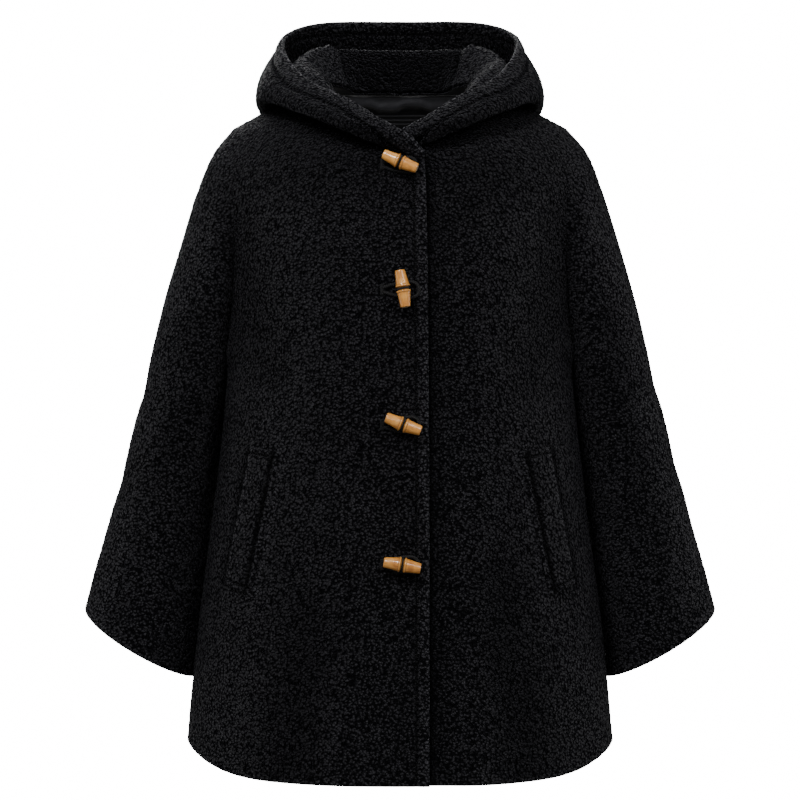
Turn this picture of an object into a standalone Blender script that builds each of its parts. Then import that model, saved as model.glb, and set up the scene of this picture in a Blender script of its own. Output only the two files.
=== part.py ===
"""Toggle coat with a thrown-back hood, worn shape, hollow.

Metres, +Z up.  The front faces -Y, +X is the wearer's left, and the origin lies between the shoulders where
the wearer carries the coat.  Every cloth piece is a surface worked out from a table of sections, given its
wall by moving each point inwards.  Neighbouring pieces share their seam points and the normals there, so
their walls are mitred, and each cut edge is drawn back a little from its seam.
"""
import math

import bpy
import numpy as np

# Driving sizes.
CLOTH = 0.003             # curled wool cloth, with its pile
EDGE_GAP = 0.00025        # how far a sewn edge of the body is drawn back from its seam
SET_IN_GAP = 0.0005       # the same for sleeves and hood, which meet the body at a crease
EDGE_SHARE = 0.4          # an edge is never drawn back by more than this share of its mesh cell
CREASE_LIMIT = 0.72       # past this much turn at a seam, each piece keeps its own direction
SEAT_GAP = 0.0003         # between a piece and what it lies on
OVERLAP = 0.0285          # each front reaches this far past the centre line
PRESS = 0.0045            # the under front lies this far behind the over front
PRESS_FULL = 0.036        # the press is full up to here, measured from the centre line
PRESS_END = 0.095         # and has faded out here
PRESS_BACK = -0.060       # behind this depth nothing is pressed
PRESS_DEPTH = 0.030       # and this far ahead of it the press is full
HOOD_PRESS = 0.006        # the under hood half is pressed this much more, above its seam
HOOD_PRESS_START = 0.022  # full up to this distance from the centre line
HOOD_PRESS_END = 0.065
HOOD_UNDER_START = -0.004 # the under hood half starts here, hidden by the over half
FOLD_WIDTH = 0.010        # the hood's outer fold is a soft toe this wide
BAG_FOLD_WIDTH = 0.024    # and this wide at the bottom of the bag behind
UNDERARM_FLARE = 0.0045   # the side turns out to meet the sleeve in the armpit
LINING_THICK = 0.0012
LINING_SEAT = 0.0012      # the lining clears the facets of the back by this much
WELT_THICK = 0.0035
WELT_SEAT = 0.0008        # and a welt those of the front
TOGGLE_LENGTH = 0.043
TOGGLE_END_RADIUS = 0.0062
TOGGLE_RIM_RADIUS = 0.0085
TOGGLE_WAIST_RADIUS = 0.0066
TOGGLE_WAIST_HALF = 0.0016
TOGGLE_BEVEL = 0.0008
TIE_THICK = 0.0012
TIE_HALF_WIDTH = 0.0012
TURNED_SIDES = 14         # sides of a toggle and of its tie
CORD_RADIUS = 0.0017
TAB_SIZE = (0.005, 0.0035, 0.013)

# Columns cut across each panel, and rows for each stretch of it.
PANEL_COLUMNS = 10
BODY_ROWS = 9             # hem to just below the underarm
ARMPIT_ROWS = 2           # the last stretch up to the underarm
ARMHOLE_ROWS = 6          # underarm to the start of the neckline
NECK_ROWS = 9             # along the front neckline
BACK_ARMHOLE_ROWS = 8     # underarm to the back neck
BACK_NECK_ROWS = 6        # along the back neckline
SIDE_ROWS = BODY_ROWS + ARMPIT_ROWS
HOOD_STEPS = 15           # neck seam to hood edge
SLEEVE_STEPS = 12         # armhole to cuff

# Sections of the front, hem to shoulder.  centre_* lies on the middle line of the whole form, side_* on the
# side seam and then on the armhole, angle is how far the section has turned there, drop is how suddenly its
# height changes towards the side, and neck is the distance from the middle line at which the cloth is cut.
FRONT_SECTIONS = [
    # centre_y, centre_z, side_x, side_y, side_z, angle, drop, neck
    (-0.155, -0.792, 0.2555, 0.010, -0.757, 90, 6.0, -OVERLAP),
    (-0.153, -0.700, 0.2505, 0.010, -0.700, 90, 6.0, -OVERLAP),
    (-0.150, -0.600, 0.2395, 0.010, -0.600, 90, 4.0, -OVERLAP),
    (-0.1475, -0.500, 0.2265, 0.010, -0.500, 90, 2.0, -OVERLAP),
    (-0.1455, -0.400, 0.2150, 0.010, -0.400, 90, 2.0, -OVERLAP),
    (-0.1432, -0.310, 0.2058, 0.010, -0.310, 90, 2.0, -OVERLAP),
    (-0.1425, -0.288, 0.2040, 0.010, -0.288, 90, 2.0, -OVERLAP),
    (-0.139, -0.225, 0.1990, -0.028, -0.222, 82, 2.0, -OVERLAP),
    (-0.134, -0.170, 0.1970, -0.048, -0.160, 70, 2.0, -OVERLAP),
    (-0.126, -0.118, 0.1970, -0.050, -0.105, 58, 2.0, -OVERLAP),
    (-0.114, -0.066, 0.1980, -0.038, -0.066, 50, 2.0, -OVERLAP),
    (-0.094, -0.032, 0.1985, -0.022, -0.046, 44, 2.0, 0.048),
    (-0.052, 0.012, 0.1990, -0.006, -0.032, 39, 1.8, 0.073),
    (0.025, 0.054, 0.2000, 0.014, -0.022, 35, 1.6, 0.087),
]
FRONT_UNDERARM = 6        # row of the table at the underarm
FRONT_PIT = 10            # row at the top of the front edge

# Sections of the back in the same columns.  Up to the underarm, and at the shoulder, the side is the front's.
BACK_SECTIONS = [
    (0.175, -0.792, 0.2555, 0.010, -0.757, 90, 6.0, 0.0),
    (0.172, -0.700, 0.2505, 0.010, -0.700, 90, 6.0, 0.0),
    (0.166, -0.600, 0.2395, 0.010, -0.600, 90, 4.0, 0.0),
    (0.159, -0.500, 0.2265, 0.010, -0.500, 90, 2.0, 0.0),
    (0.152, -0.400, 0.2150, 0.010, -0.400, 90, 2.0, 0.0),
    (0.147, -0.310, 0.2058, 0.010, -0.310, 90, 2.0, 0.0),
    (0.145, -0.288, 0.2040, 0.010, -0.288, 90, 2.0, 0.0),
    (0.141, -0.225, 0.1990, 0.055, -0.222, 82, 2.0, 0.0),
    (0.137, -0.165, 0.1935, 0.080, -0.160, 70, 2.0, 0.0),
    (0.128, -0.105, 0.1920, 0.082, -0.105, 58, 2.0, 0.0),
    (0.112, -0.050, 0.1935, 0.064, -0.062, 50, 2.0, 0.0),
    (0.090, -0.004, 0.1960, 0.044, -0.042, 44, 2.0, 0.0),
    (0.068, 0.026, 0.1980, 0.030, -0.031, 40, 1.8, 0.0),
    (0.0615, 0.032, 0.1983, 0.0275, -0.0296, 39.2, 1.8, 0.052),
    (0.048, 0.043, 0.1990, 0.021, -0.026, 37, 1.7, 0.066),
    (0.025, 0.054, 0.2000, 0.014, -0.022, 35, 1.6, 0.087),
]
BACK_UNDERARM = 6
BACK_NECK = 12

# Sections of one hood half from the front end to the centre back.  along is the share of the neck seam;
# then the roll, the layer that lies on the coat, the outer fold, the outer face and the free edge.
HOOD_SECTIONS = [
    # along, roll, lower layer, fold, outer face, edge
    (0.00, (-0.0285, -0.1144, -0.0647), (-0.0285, -0.1150, -0.0631), (-0.0285, -0.1155, -0.0615),
     (-0.0285, -0.1160, -0.0599), (-0.0285, -0.1165, -0.0585)),
    (0.09, (0.0020, -0.1150, -0.0600), (0.0025, -0.1185, -0.0560), (0.0020, -0.1205, -0.0515),
     (-0.0030, -0.1195, -0.0455), (-0.0100, -0.1165, -0.0395)),
    (0.20, (0.0360, -0.1090, -0.0430), (0.0390, -0.1160, -0.0455), (0.0440, -0.1260, -0.0400),
     (0.0400, -0.1245, -0.0260), (0.0290, -0.1060, -0.0135)),
    (0.33, (0.0660, -0.0830, -0.0080), (0.0740, -0.0930, -0.0170), (0.0830, -0.1080, -0.0260),
     (0.0810, -0.1080, -0.0060), (0.0620, -0.0780, 0.0150)),
    (0.47, (0.0980, -0.0350, 0.0360), (0.1140, -0.0520, 0.0120), (0.1220, -0.0760, -0.0080),
     (0.1250, -0.0720, 0.0140), (0.1070, -0.0400, 0.0400)),
    (0.60, (0.116, 0.0200, 0.0600), (0.143, -0.005, 0.0300), (0.165, -0.0150, 0.0085),
     (0.162, 0.0000, 0.0420), (0.138, 0.0200, 0.0710)),
    (0.71, (0.100, 0.0600, 0.0790), (0.128, 0.078, 0.0210), (0.159, 0.0970, -0.0120),
     (0.166, 0.1000, 0.0450), (0.142, 0.1000, 0.1030)),
    (0.84, (0.060, 0.0800, 0.0780), (0.074, 0.1010, -0.0040), (0.095, 0.1400, -0.1000),
     (0.114, 0.1840, 0.0180), (0.098, 0.1500, 0.1240)),
    (1.00, (0.000, 0.0840, 0.0765), (0.000, 0.1080, -0.0120), (0.000, 0.1570, -0.1430),
     (0.000, 0.2150, 0.0020), (0.000, 0.1730, 0.1285)),
]
HOOD_STATIONS = (0.0, 0.17, 0.39, 0.57, 0.63, 0.82, 1.0)

# Sections of a sleeve, armhole to cuff; the first is the armhole itself.
SLEEVE_SECTIONS = [
    # outer_x, outer_z, inner_x, inner_z, middle_y, inner_y, half_depth, bow
    (0.2230, -0.048, 0.2074, -0.303, 0.018, 0.030, 0.073, 0.000),
    (0.2436, -0.096, 0.2062, -0.338, 0.022, 0.046, 0.077, 0.000),
    (0.2590, -0.144, 0.2088, -0.376, 0.026, 0.052, 0.077, 0.000),
    (0.2810, -0.216, 0.2168, -0.430, 0.032, 0.056, 0.076, 0.002),
    (0.3000, -0.288, 0.2225, -0.480, 0.037, 0.060, 0.074, 0.003),
    (0.3180, -0.360, 0.2275, -0.530, 0.041, 0.063, 0.072, 0.005),
    (0.3370, -0.432, 0.2330, -0.580, 0.044, 0.065, 0.071, 0.007),
    (0.3560, -0.504, 0.2390, -0.630, 0.046, 0.067, 0.070, 0.009),
    (0.3835, -0.602, 0.2450, -0.682, 0.048, 0.069, 0.069, 0.012),
]

# Toggles from the top: centre across and up, and the tilt of the length against the horizontal.
TOGGLES = [
    # x, z, tilt in degrees
    (0.0000, -0.0755, -25.0),
    (0.0035, -0.2210, -81.0),
    (0.0035, -0.3765, -21.0),
    (0.0025, -0.5370, -10.0),
]
LOOP_TAB_X = -0.0205      # the tabs stand on the over front, left of the toggles
LOOP_REACH = 0.0185       # the loop's far end past the toggle's centre
LOOP_HALF_WIDTH = 0.0088
LOOP_START = 0.0026       # half the distance between the cord ends at the tab

# Corners of a pocket welt seen from the front: distance from the middle line and height.
WELT_TOP_OUT = (0.1750, -0.4055)
WELT_TOP_IN = (0.1465, -0.4085)
WELT_BOTTOM_OUT = (0.2065, -0.5660)
WELT_BOTTOM_IN = (0.1830, -0.5765)
WELT_ROWS = 8
WELT_COLUMNS = 2

LINING_TOP = 0.022        # the lining starts under the back neck seam
LINING_BOTTOM = -0.085
LINING_HALF_WIDTH = 0.078
LINING_ROWS = 5
LINING_COLUMNS = 8

RIGHT = -1                # wearer's right, -X
LEFT = 1                  # wearer's left, +X


# ---------------------------------------------------------------- curves and tables
def limited_slopes(knots, values):
    """Slopes of a cubic that never overshoots: the harmonic mean of the two chords, or 0 at a turn."""
    chord = np.diff(values, axis=0) / np.diff(knots)[:, None]
    slopes = np.zeros_like(values)
    before, after = chord[:-1], chord[1:]
    same = before * after > 0
    total = np.where(same, before + after, 1.0)
    slopes[1:-1] = np.where(same, 2.0 * before * after / total, 0.0)
    slopes[0], slopes[-1] = chord[0], chord[-1]
    return slopes


def round_slopes(knots, values):
    """Slopes of a rounder cubic: the chord between the two neighbours."""
    slopes = np.empty_like(values)
    slopes[1:-1] = (values[2:] - values[:-2]) / (knots[2:] - knots[:-2])[:, None]
    slopes[0] = (values[1] - values[0]) / (knots[1] - knots[0])
    slopes[-1] = (values[-1] - values[-2]) / (knots[-1] - knots[-2])
    return slopes


def cubic(knots, values, at, slope_rule):
    """Cubic Hermite curve through values at knots, read at the places in at."""
    knots = np.asarray(knots, float)
    values = np.asarray(values, float)
    shape = values.shape[1:]
    values = values.reshape(len(knots), -1)
    slopes = slope_rule(knots, values)
    at = np.atleast_1d(np.asarray(at, float))
    cell = np.clip(np.searchsorted(knots, at, side="right") - 1, 0, len(knots) - 2)
    width = (knots[cell + 1] - knots[cell])[:, None]
    part = (at[:, None] - knots[cell][:, None]) / width
    result = ((2 * part ** 3 - 3 * part ** 2 + 1) * values[cell]
              + (part ** 3 - 2 * part ** 2 + part) * width * slopes[cell]
              + (3 * part ** 2 - 2 * part ** 3) * values[cell + 1]
              + (part ** 3 - part ** 2) * width * slopes[cell + 1])
    return result.reshape((len(at),) + shape)


def eased(value):
    """0 to 1 with soft ends."""
    value = np.clip(value, 0.0, 1.0)
    return value * value * (3.0 - 2.0 * value)


def section_at(table, level):
    """The table's columns at each level, where level 0 is its first row and 1 is the next."""
    return cubic(np.arange(len(table)), table, level, limited_slopes).T


def section_point(table, level, turn):
    """Points of the coat's form: level goes up the table, turn is the angle from the middle line.

    x = side_x * sin(turn) / sin(angle);  y runs from centre_y to side_y as 1 - cos(turn);
    z runs from centre_z to side_z as the share of x to the power drop.
    """
    centre_y, centre_z, side_x, side_y, side_z, angle, drop, _neck = section_at(table, level)
    angle = np.radians(angle)
    share = np.sin(turn) / np.sin(angle)[:, None]
    height = np.clip(1.0 - np.abs(level - FRONT_UNDERARM), 0.0, 1.0)
    flare = UNDERARM_FLARE * eased(height)[:, None] * np.abs(share) ** 12
    x = (side_x[:, None] + flare) * share
    y = centre_y[:, None] + (side_y - centre_y)[:, None] * (1 - np.cos(turn)) / (1 - np.cos(angle))[:, None]
    z = centre_z[:, None] + (side_z - centre_z)[:, None] * np.abs(share) ** drop[:, None]
    return np.stack([x, y, z], axis=-1)


def panel_grid(table, levels):
    """Half panel, rows up the levels and columns from the side in to the cut edge."""
    columns = section_at(table, levels)
    angle = np.radians(columns[5])
    cut = np.arcsin(np.clip(columns[7] / columns[2] * np.sin(angle), -1.0, 1.0))
    across = np.linspace(0.0, 1.0, PANEL_COLUMNS + 1)
    turn = angle[:, None] + (cut - angle)[:, None] * across[None, :]
    return section_point(table, levels, turn)


def spread(*stretches):
    """Levels from (start, end, rows) stretches, without repeating the joints."""
    parts = [np.linspace(start, end, rows + 1)[:-1] for start, end, rows in stretches]
    return np.concatenate(parts + [[stretches[-1][1]]])


def mirrored(grid, side):
    """The same grid on the wearer's left (+X) or right (-X)."""
    return grid * np.array([side, 1.0, 1.0])


def pressed(grid):
    """The under front and hood half, moved back where the over half covers them."""
    across = eased((PRESS_END - grid[..., 0]) / (PRESS_END - PRESS_FULL))
    ahead = eased((PRESS_BACK - grid[..., 1]) / PRESS_DEPTH)
    result = grid.copy()
    result[..., 1] += PRESS * across * ahead
    return result


def hood_pressed(grid):
    """The under hood half again, further back the further it rises from the neck seam."""
    across = eased((HOOD_PRESS_END - grid[..., 0]) / (HOOD_PRESS_END - HOOD_PRESS_START))
    ahead = eased((PRESS_BACK - grid[..., 1]) / PRESS_DEPTH)
    rise = eased(np.linspace(0.0, 2.0, HOOD_STEPS + 1))[None, :]
    result = grid.copy()
    result[..., 1] += HOOD_PRESS * across * ahead * rise
    return result


# ---------------------------------------------------------------- surfaces of the pieces
FRONT_LEVELS = spread((0, FRONT_UNDERARM - 1, BODY_ROWS), (FRONT_UNDERARM - 1, FRONT_UNDERARM, ARMPIT_ROWS),
                      (FRONT_UNDERARM, FRONT_PIT, ARMHOLE_ROWS),
                      (FRONT_PIT, len(FRONT_SECTIONS) - 1, NECK_ROWS))
BACK_LEVELS = spread((0, BACK_UNDERARM - 1, BODY_ROWS), (BACK_UNDERARM - 1, BACK_UNDERARM, ARMPIT_ROWS),
                     (BACK_UNDERARM, BACK_NECK, BACK_ARMHOLE_ROWS),
                     (BACK_NECK, len(BACK_SECTIONS) - 1, BACK_NECK_ROWS))


def hood_grid(front, back):
    """Half hood: rows along the neck seam from the front end to the centre back, columns out to the edge."""
    front_neck = front[SIDE_ROWS + ARMHOLE_ROWS:, -1]
    back_neck = back[SIDE_ROWS + BACK_ARMHOLE_ROWS:, -1][::-1]
    neck = np.concatenate([front_neck, back_neck[1:]])
    length = np.concatenate([[0.0], np.cumsum(np.linalg.norm(np.diff(neck, axis=0), axis=1))])
    along = length / length[-1]
    knots = [row[0] for row in HOOD_SECTIONS]
    lines = np.array([row[1:] for row in HOOD_SECTIONS])
    lines = cubic(knots, lines, along, round_slopes)
    roll, lower, fold, outer, edge = lines.transpose(1, 0, 2)
    across = outer - lower
    depth = np.linalg.norm(across, axis=1)[:, None]
    width = FOLD_WIDTH + (BAG_FOLD_WIDTH - FOLD_WIDTH) * eased((along - 0.5) / 0.4)[:, None]
    toe = across / depth * width / 2 * np.clip(depth / 0.020, 0.0, 1.0) ** 2
    net = np.stack([neck, roll, lower, fold - toe, fold + toe, outer, edge], axis=1)
    out = np.linspace(0.0, 1.0, HOOD_STEPS + 1)
    return cubic(HOOD_STATIONS, net.transpose(1, 0, 2), out, round_slopes).transpose(1, 0, 2)


def sleeve_grid(edge, facing):
    """Half sleeve: rows from the armhole to the cuff, columns from the outer seam round to the inner seam.

    Past the armhole each ring is an oval: middle + half width * cos(turn) towards the outer point, and
    half_depth * sin(turn) to the front (facing -1) or the back (facing 1).
    """
    length = np.concatenate([[0.0], np.cumsum(np.linalg.norm(np.diff(edge, axis=0), axis=1))])
    turn = np.pi * length / length[-1]
    rings = [edge]
    for outer_x, outer_z, inner_x, inner_z, middle_y, inner_y, half_depth, bow in SLEEVE_SECTIONS:
        inward = (1 - np.cos(turn)) / 2
        x = outer_x + (inner_x - outer_x) * inward
        y = middle_y + (inner_y - middle_y) * inward + facing * half_depth * np.sin(turn)
        z = outer_z + (inner_z - outer_z) * inward - bow * np.sin(turn)
        rings.append(np.stack([x, y, z], axis=-1))
    rings = np.array(rings)
    heights = [FRONT_SECTIONS[-1][4]] + [row[1] for row in SLEEVE_SECTIONS]
    knots = -np.array(heights)
    at = np.concatenate([knots[:2], np.linspace(knots[2], knots[-1], SLEEVE_STEPS - 1)])
    return cubic(knots, rings, at, round_slopes)


def coat_grids():
    """Every cloth grid by piece, as (points, turn round) pairs that share their seam points."""
    front = panel_grid(FRONT_SECTIONS, FRONT_LEVELS)
    back = panel_grid(BACK_SECTIONS, BACK_LEVELS)
    hood = hood_grid(front, back)
    front_edge = front[SIDE_ROWS:, 0][::-1]
    back_edge = back[SIDE_ROWS:, 0][::-1]
    under_front = pressed(front)
    under_hood = hood_pressed(pressed(hood))
    under_hood = under_hood[hood[:, 0, 0] > HOOD_UNDER_START]
    sleeve_front = sleeve_grid(front_edge, -1)
    sleeve_back = sleeve_grid(back_edge, 1)
    return {
        "front_right": [(mirrored(front, RIGHT), False)],
        "front_left": [(mirrored(under_front, LEFT), True)],
        "back": [(mirrored(back, RIGHT), True), (mirrored(back, LEFT), False)],
        "sleeve_right_front": [(mirrored(sleeve_front, RIGHT), True)],
        "sleeve_right_back": [(mirrored(sleeve_back, RIGHT), False)],
        "sleeve_left_front": [(mirrored(sleeve_front, LEFT), False)],
        "sleeve_left_back": [(mirrored(sleeve_back, LEFT), True)],
        "hood_right": [(mirrored(hood, RIGHT), False)],
        "hood_left": [(mirrored(under_hood, LEFT), True)],
    }


# ---------------------------------------------------------------- walls
def grid_faces(rows, columns, first, turned):
    """Quads of a grid whose points start at first."""
    index = first + np.arange(rows * columns).reshape(rows, columns)
    quads = np.stack([index[:-1, :-1], index[:-1, 1:], index[1:, 1:], index[1:, :-1]], axis=-1)
    quads = quads.reshape(-1, 4)
    return quads[:, ::-1] if turned else quads


def welded(grids):
    """One list of points and quads from several grids, with equal points joined."""
    points = []
    faces = []
    first = 0
    for grid, turned in grids:
        rows, columns = grid.shape[:2]
        points.append(grid.reshape(-1, 3))
        faces.append(grid_faces(rows, columns, first, turned))
        first += rows * columns
    points = np.concatenate(points)
    faces = np.concatenate(faces)
    _keys, keep, where = np.unique(np.round(points, 6), axis=0, return_index=True, return_inverse=True)
    return points[keep], where.reshape(-1)[faces]


def point_normals(points, faces):
    """Unit normal at each point, the sum of its faces' area normals."""
    across = points[faces[:, 2]] - points[faces[:, 0]]
    down = points[faces[:, 3]] - points[faces[:, 1]]
    area = np.cross(across, down)
    total = np.zeros_like(points)
    for corner in range(4):
        np.add.at(total, faces[:, corner], area)
    return total / np.linalg.norm(total, axis=1)[:, None]


def normal_table(grids):
    """Normals of several grids sewn together, by rounded point."""
    points, faces = welded(grids)
    normals = point_normals(points, faces)
    return {tuple(key): normal for key, normal in zip(np.round(points, 6), normals)}


def open_edges(faces):
    """Directed edges that belong to one face only."""
    edges = np.concatenate([np.stack([faces[:, k], faces[:, (k + 1) % 4]], axis=1) for k in range(4)])
    known = {(int(a), int(b)) for a, b in edges}
    return np.array([edge for edge in known if (edge[1], edge[0]) not in known])


def drawn_back(points, normals, edges, distance, shortest):
    """Move the points of the open edges into the cloth, in its own plane, by less where the mesh is fine."""
    along = points[edges[:, 1]] - points[edges[:, 0]]
    inward = np.cross(normals[edges[:, 0]] + normals[edges[:, 1]], along)
    inward /= np.linalg.norm(inward, axis=1)[:, None]
    total = np.zeros_like(points)
    for end in range(2):
        np.add.at(total, edges[:, end], inward)
    # Where two edges meet at an angle, the point keeps the distance from both.
    size = np.maximum((total ** 2).sum(axis=1), 1.0)
    return points + total * (2.0 * np.minimum(distance, EDGE_SHARE * shortest) / size)[:, None]


def shortest_edges(points, faces):
    """Length of the shortest face edge at each point."""
    shortest = np.full(len(points), np.inf)
    for corner in range(4):
        ends = faces[:, [corner, (corner + 1) % 4]]
        length = np.linalg.norm(points[ends[:, 0]] - points[ends[:, 1]], axis=1)
        np.minimum.at(shortest, ends[:, 0], length)
        np.minimum.at(shortest, ends[:, 1], length)
    return shortest


def wall_mesh(points, faces, normals, thickness, draw):
    """A closed wall: outer points, inner points and the strips along the open edges."""
    edges = open_edges(faces)
    outer = drawn_back(points, normals, edges, draw, shortest_edges(points, faces))
    inner = outer - normals * thickness
    count = len(points)
    strips = np.stack([edges[:, 1], edges[:, 0], edges[:, 0] + count, edges[:, 1] + count], axis=1)
    all_faces = np.concatenate([faces, faces[:, ::-1] + count, strips])
    return np.concatenate([outer, inner]), all_faces


def add_object(name, points, faces, material):
    """One named object with its own mesh."""
    mesh = bpy.data.meshes.new(name)
    mesh.from_pydata([tuple(point) for point in points], [], [tuple(int(i) for i in face) for face in faces])
    mesh.validate()
    mesh.shade_smooth()
    mesh.set_sharp_from_angle(angle=math.radians(50))
    mesh.materials.append(material)
    piece = bpy.data.objects.new(name, mesh)
    bpy.context.scene.collection.objects.link(piece)
    return piece


def new_material(name, colour, roughness, metallic=0.0):
    """A Principled material in one colour."""
    material = bpy.data.materials.new(name)
    material.use_nodes = True
    shader = material.node_tree.nodes["Principled BSDF"]
    shader.inputs["Base Color"].default_value = (*colour, 1.0)
    shader.inputs["Roughness"].default_value = roughness
    shader.inputs["Metallic"].default_value = metallic
    return material


# ---------------------------------------------------------------- the front as a height over (x, z)
def front_surface(x, z):
    """Point of the over front at x (towards the wearer's left) and z below the neck, and its unit normal."""
    table = np.array(FRONT_SECTIONS[:FRONT_PIT + 1])

    def depth(at_x, at_z):
        level = np.interp(at_z, table[:, 1], np.arange(len(table)))
        centre_y, _z, side_x, side_y, _side_z, angle, _drop, _neck = section_at(table, level)
        angle = np.radians(angle)
        share = np.abs(at_x) / side_x * np.sin(angle)
        bend = (1 - np.sqrt(1 - share ** 2)) / (1 - np.cos(angle))
        return centre_y + (side_y - centre_y) * bend

    x = np.atleast_1d(np.asarray(x, float))
    z = np.atleast_1d(np.asarray(z, float))
    step = 0.002
    y = depth(x, z)
    slope_x = (depth(x + step, z) - depth(x - step, z)) / (2 * step)
    slope_z = (depth(x, z + step) - depth(x, z - step)) / (2 * step)
    normal = np.stack([slope_x, -np.ones_like(x), slope_z], axis=-1)
    normal /= np.linalg.norm(normal, axis=-1)[:, None]
    return np.stack([x, y, z], axis=-1), normal


# ---------------------------------------------------------------- building
def build_cloth(material):
    """The nine cloth panels."""
    pieces = coat_grids()
    groups = {"body": ("front", "back"), "sleeve": ("sleeve",), "hood": ("hood",)}
    everywhere = normal_table([grid for grids in pieces.values() for grid in grids])
    in_group = {group: normal_table([grid for name, grids in pieces.items() if name.startswith(starts)
                                     for grid in grids]) for group, starts in groups.items()}
    for name, grids in pieces.items():
        group = next(group for group, starts in groups.items() if name.startswith(starts))
        points, faces = welded(grids)
        keys = [tuple(key) for key in np.round(points, 6)]
        own = np.array([in_group[group][key] for key in keys])
        shared = np.array([everywhere[key] for key in keys])
        mild = (own * shared).sum(axis=1) > CREASE_LIMIT
        normals = np.where(mild[:, None], shared, own)
        gap = EDGE_GAP if group == "body" else SET_IN_GAP
        wall, wall_faces = wall_mesh(points, faces, normals, CLOTH, gap)
        add_object(name, wall, wall_faces, material)


def build_lining(material):
    """Back-neck lining: the back's own points in a patch, moved in past the cloth."""
    table = np.array(BACK_SECTIONS)
    heights = np.linspace(LINING_BOTTOM, LINING_TOP, LINING_ROWS + 1)
    level = np.interp(heights, table[:, 1], np.arange(len(table)))
    side_x = section_at(table, level)[2]
    angle = np.radians(section_at(table, level)[5])
    reach = np.arcsin(LINING_HALF_WIDTH / side_x * np.sin(angle))
    turn = reach[:, None] * np.linspace(-1.0, 1.0, LINING_COLUMNS + 1)[None, :]
    points, faces = welded([(section_point(table, level, turn), True)])
    normals = point_normals(points, faces)
    inner = points - normals * (CLOTH + LINING_SEAT)
    wall, wall_faces = wall_mesh(inner, faces, normals, LINING_THICK, 0.0)
    add_object("neck_lining", wall, wall_faces, material)


def build_welt(name, side, material):
    """A slanted welt: the front's own points between four corners, moved out."""
    down = np.linspace(0.0, 1.0, WELT_ROWS + 1)[:, None, None]
    across = np.linspace(0.0, 1.0, WELT_COLUMNS + 1)[None, :, None]
    top = np.array(WELT_TOP_OUT) * (1 - across) + np.array(WELT_TOP_IN) * across
    bottom = np.array(WELT_BOTTOM_OUT) * (1 - across) + np.array(WELT_BOTTOM_IN) * across
    flat = (top * (1 - down) + bottom * down).reshape(-1, 2)
    points, normals = front_surface(flat[:, 0], flat[:, 1])
    outer = points + normals * (WELT_SEAT + WELT_THICK)
    faces = grid_faces(WELT_ROWS + 1, WELT_COLUMNS + 1, 0, side == RIGHT)
    wall, wall_faces = wall_mesh(mirrored(outer, side), faces, mirrored(normals, side), WELT_THICK, 0.0)
    add_object(name, wall, wall_faces, material)


def turned_solid(profile, centre, along, sides):
    """A closed turned solid from (distance, radius) pairs along an axis."""
    along = np.asarray(along, float) / np.linalg.norm(along)
    first = np.cross(along, [0.0, 1.0, 0.0])
    first /= np.linalg.norm(first)
    second = np.cross(along, first)
    angle = 2 * np.pi * np.arange(sides) / sides
    ring = np.cos(angle)[:, None] * first + np.sin(angle)[:, None] * second
    points = [np.asarray(centre) + distance * along + radius * ring for distance, radius in profile]
    faces = []
    for k in range(len(profile) - 1):
        for i in range(sides):
            j = (i + 1) % sides
            faces.append((k * sides + i, k * sides + j, (k + 1) * sides + j, (k + 1) * sides + i))
    faces.append(tuple(reversed(range(sides))))
    last = (len(profile) - 1) * sides
    faces.append(tuple(range(last, last + sides)))
    return np.concatenate(points), faces


def toggle_frame(x, z, tilt):
    """Centre of a toggle that rests on its loop, its direction and the coat's normal under it."""
    seat, normal = front_surface(x, z)
    rise = SEAT_GAP * 3 + 2 * CORD_RADIUS + TOGGLE_RIM_RADIUS
    along = np.array([math.cos(math.radians(tilt)), 0.0, math.sin(math.radians(tilt))])
    along -= normal[0] * along.dot(normal[0])
    return seat[0] + normal[0] * rise, along / np.linalg.norm(along), normal[0]


def build_toggle(number, x, z, tilt, material):
    """A length of bamboo cut either side of its node, with a bound waist."""
    centre, along, _normal = toggle_frame(x, z, tilt)
    half = TOGGLE_LENGTH / 2
    rim = TOGGLE_WAIST_HALF + TIE_THICK
    side = [(TOGGLE_WAIST_HALF, TOGGLE_WAIST_RADIUS),
            (rim, TOGGLE_RIM_RADIUS),
            (rim + 0.0028, TOGGLE_RIM_RADIUS - 0.0006),
            (half * 0.55, TOGGLE_END_RADIUS + TOGGLE_BEVEL),
            (half - TOGGLE_BEVEL, TOGGLE_END_RADIUS),
            (half, TOGGLE_END_RADIUS - TOGGLE_BEVEL)]
    profile = [(-distance, radius) for distance, radius in reversed(side)] + side
    points, faces = turned_solid(profile, centre, along, TURNED_SIDES)
    add_object(f"toggle_{number}", points, faces, material)


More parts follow.
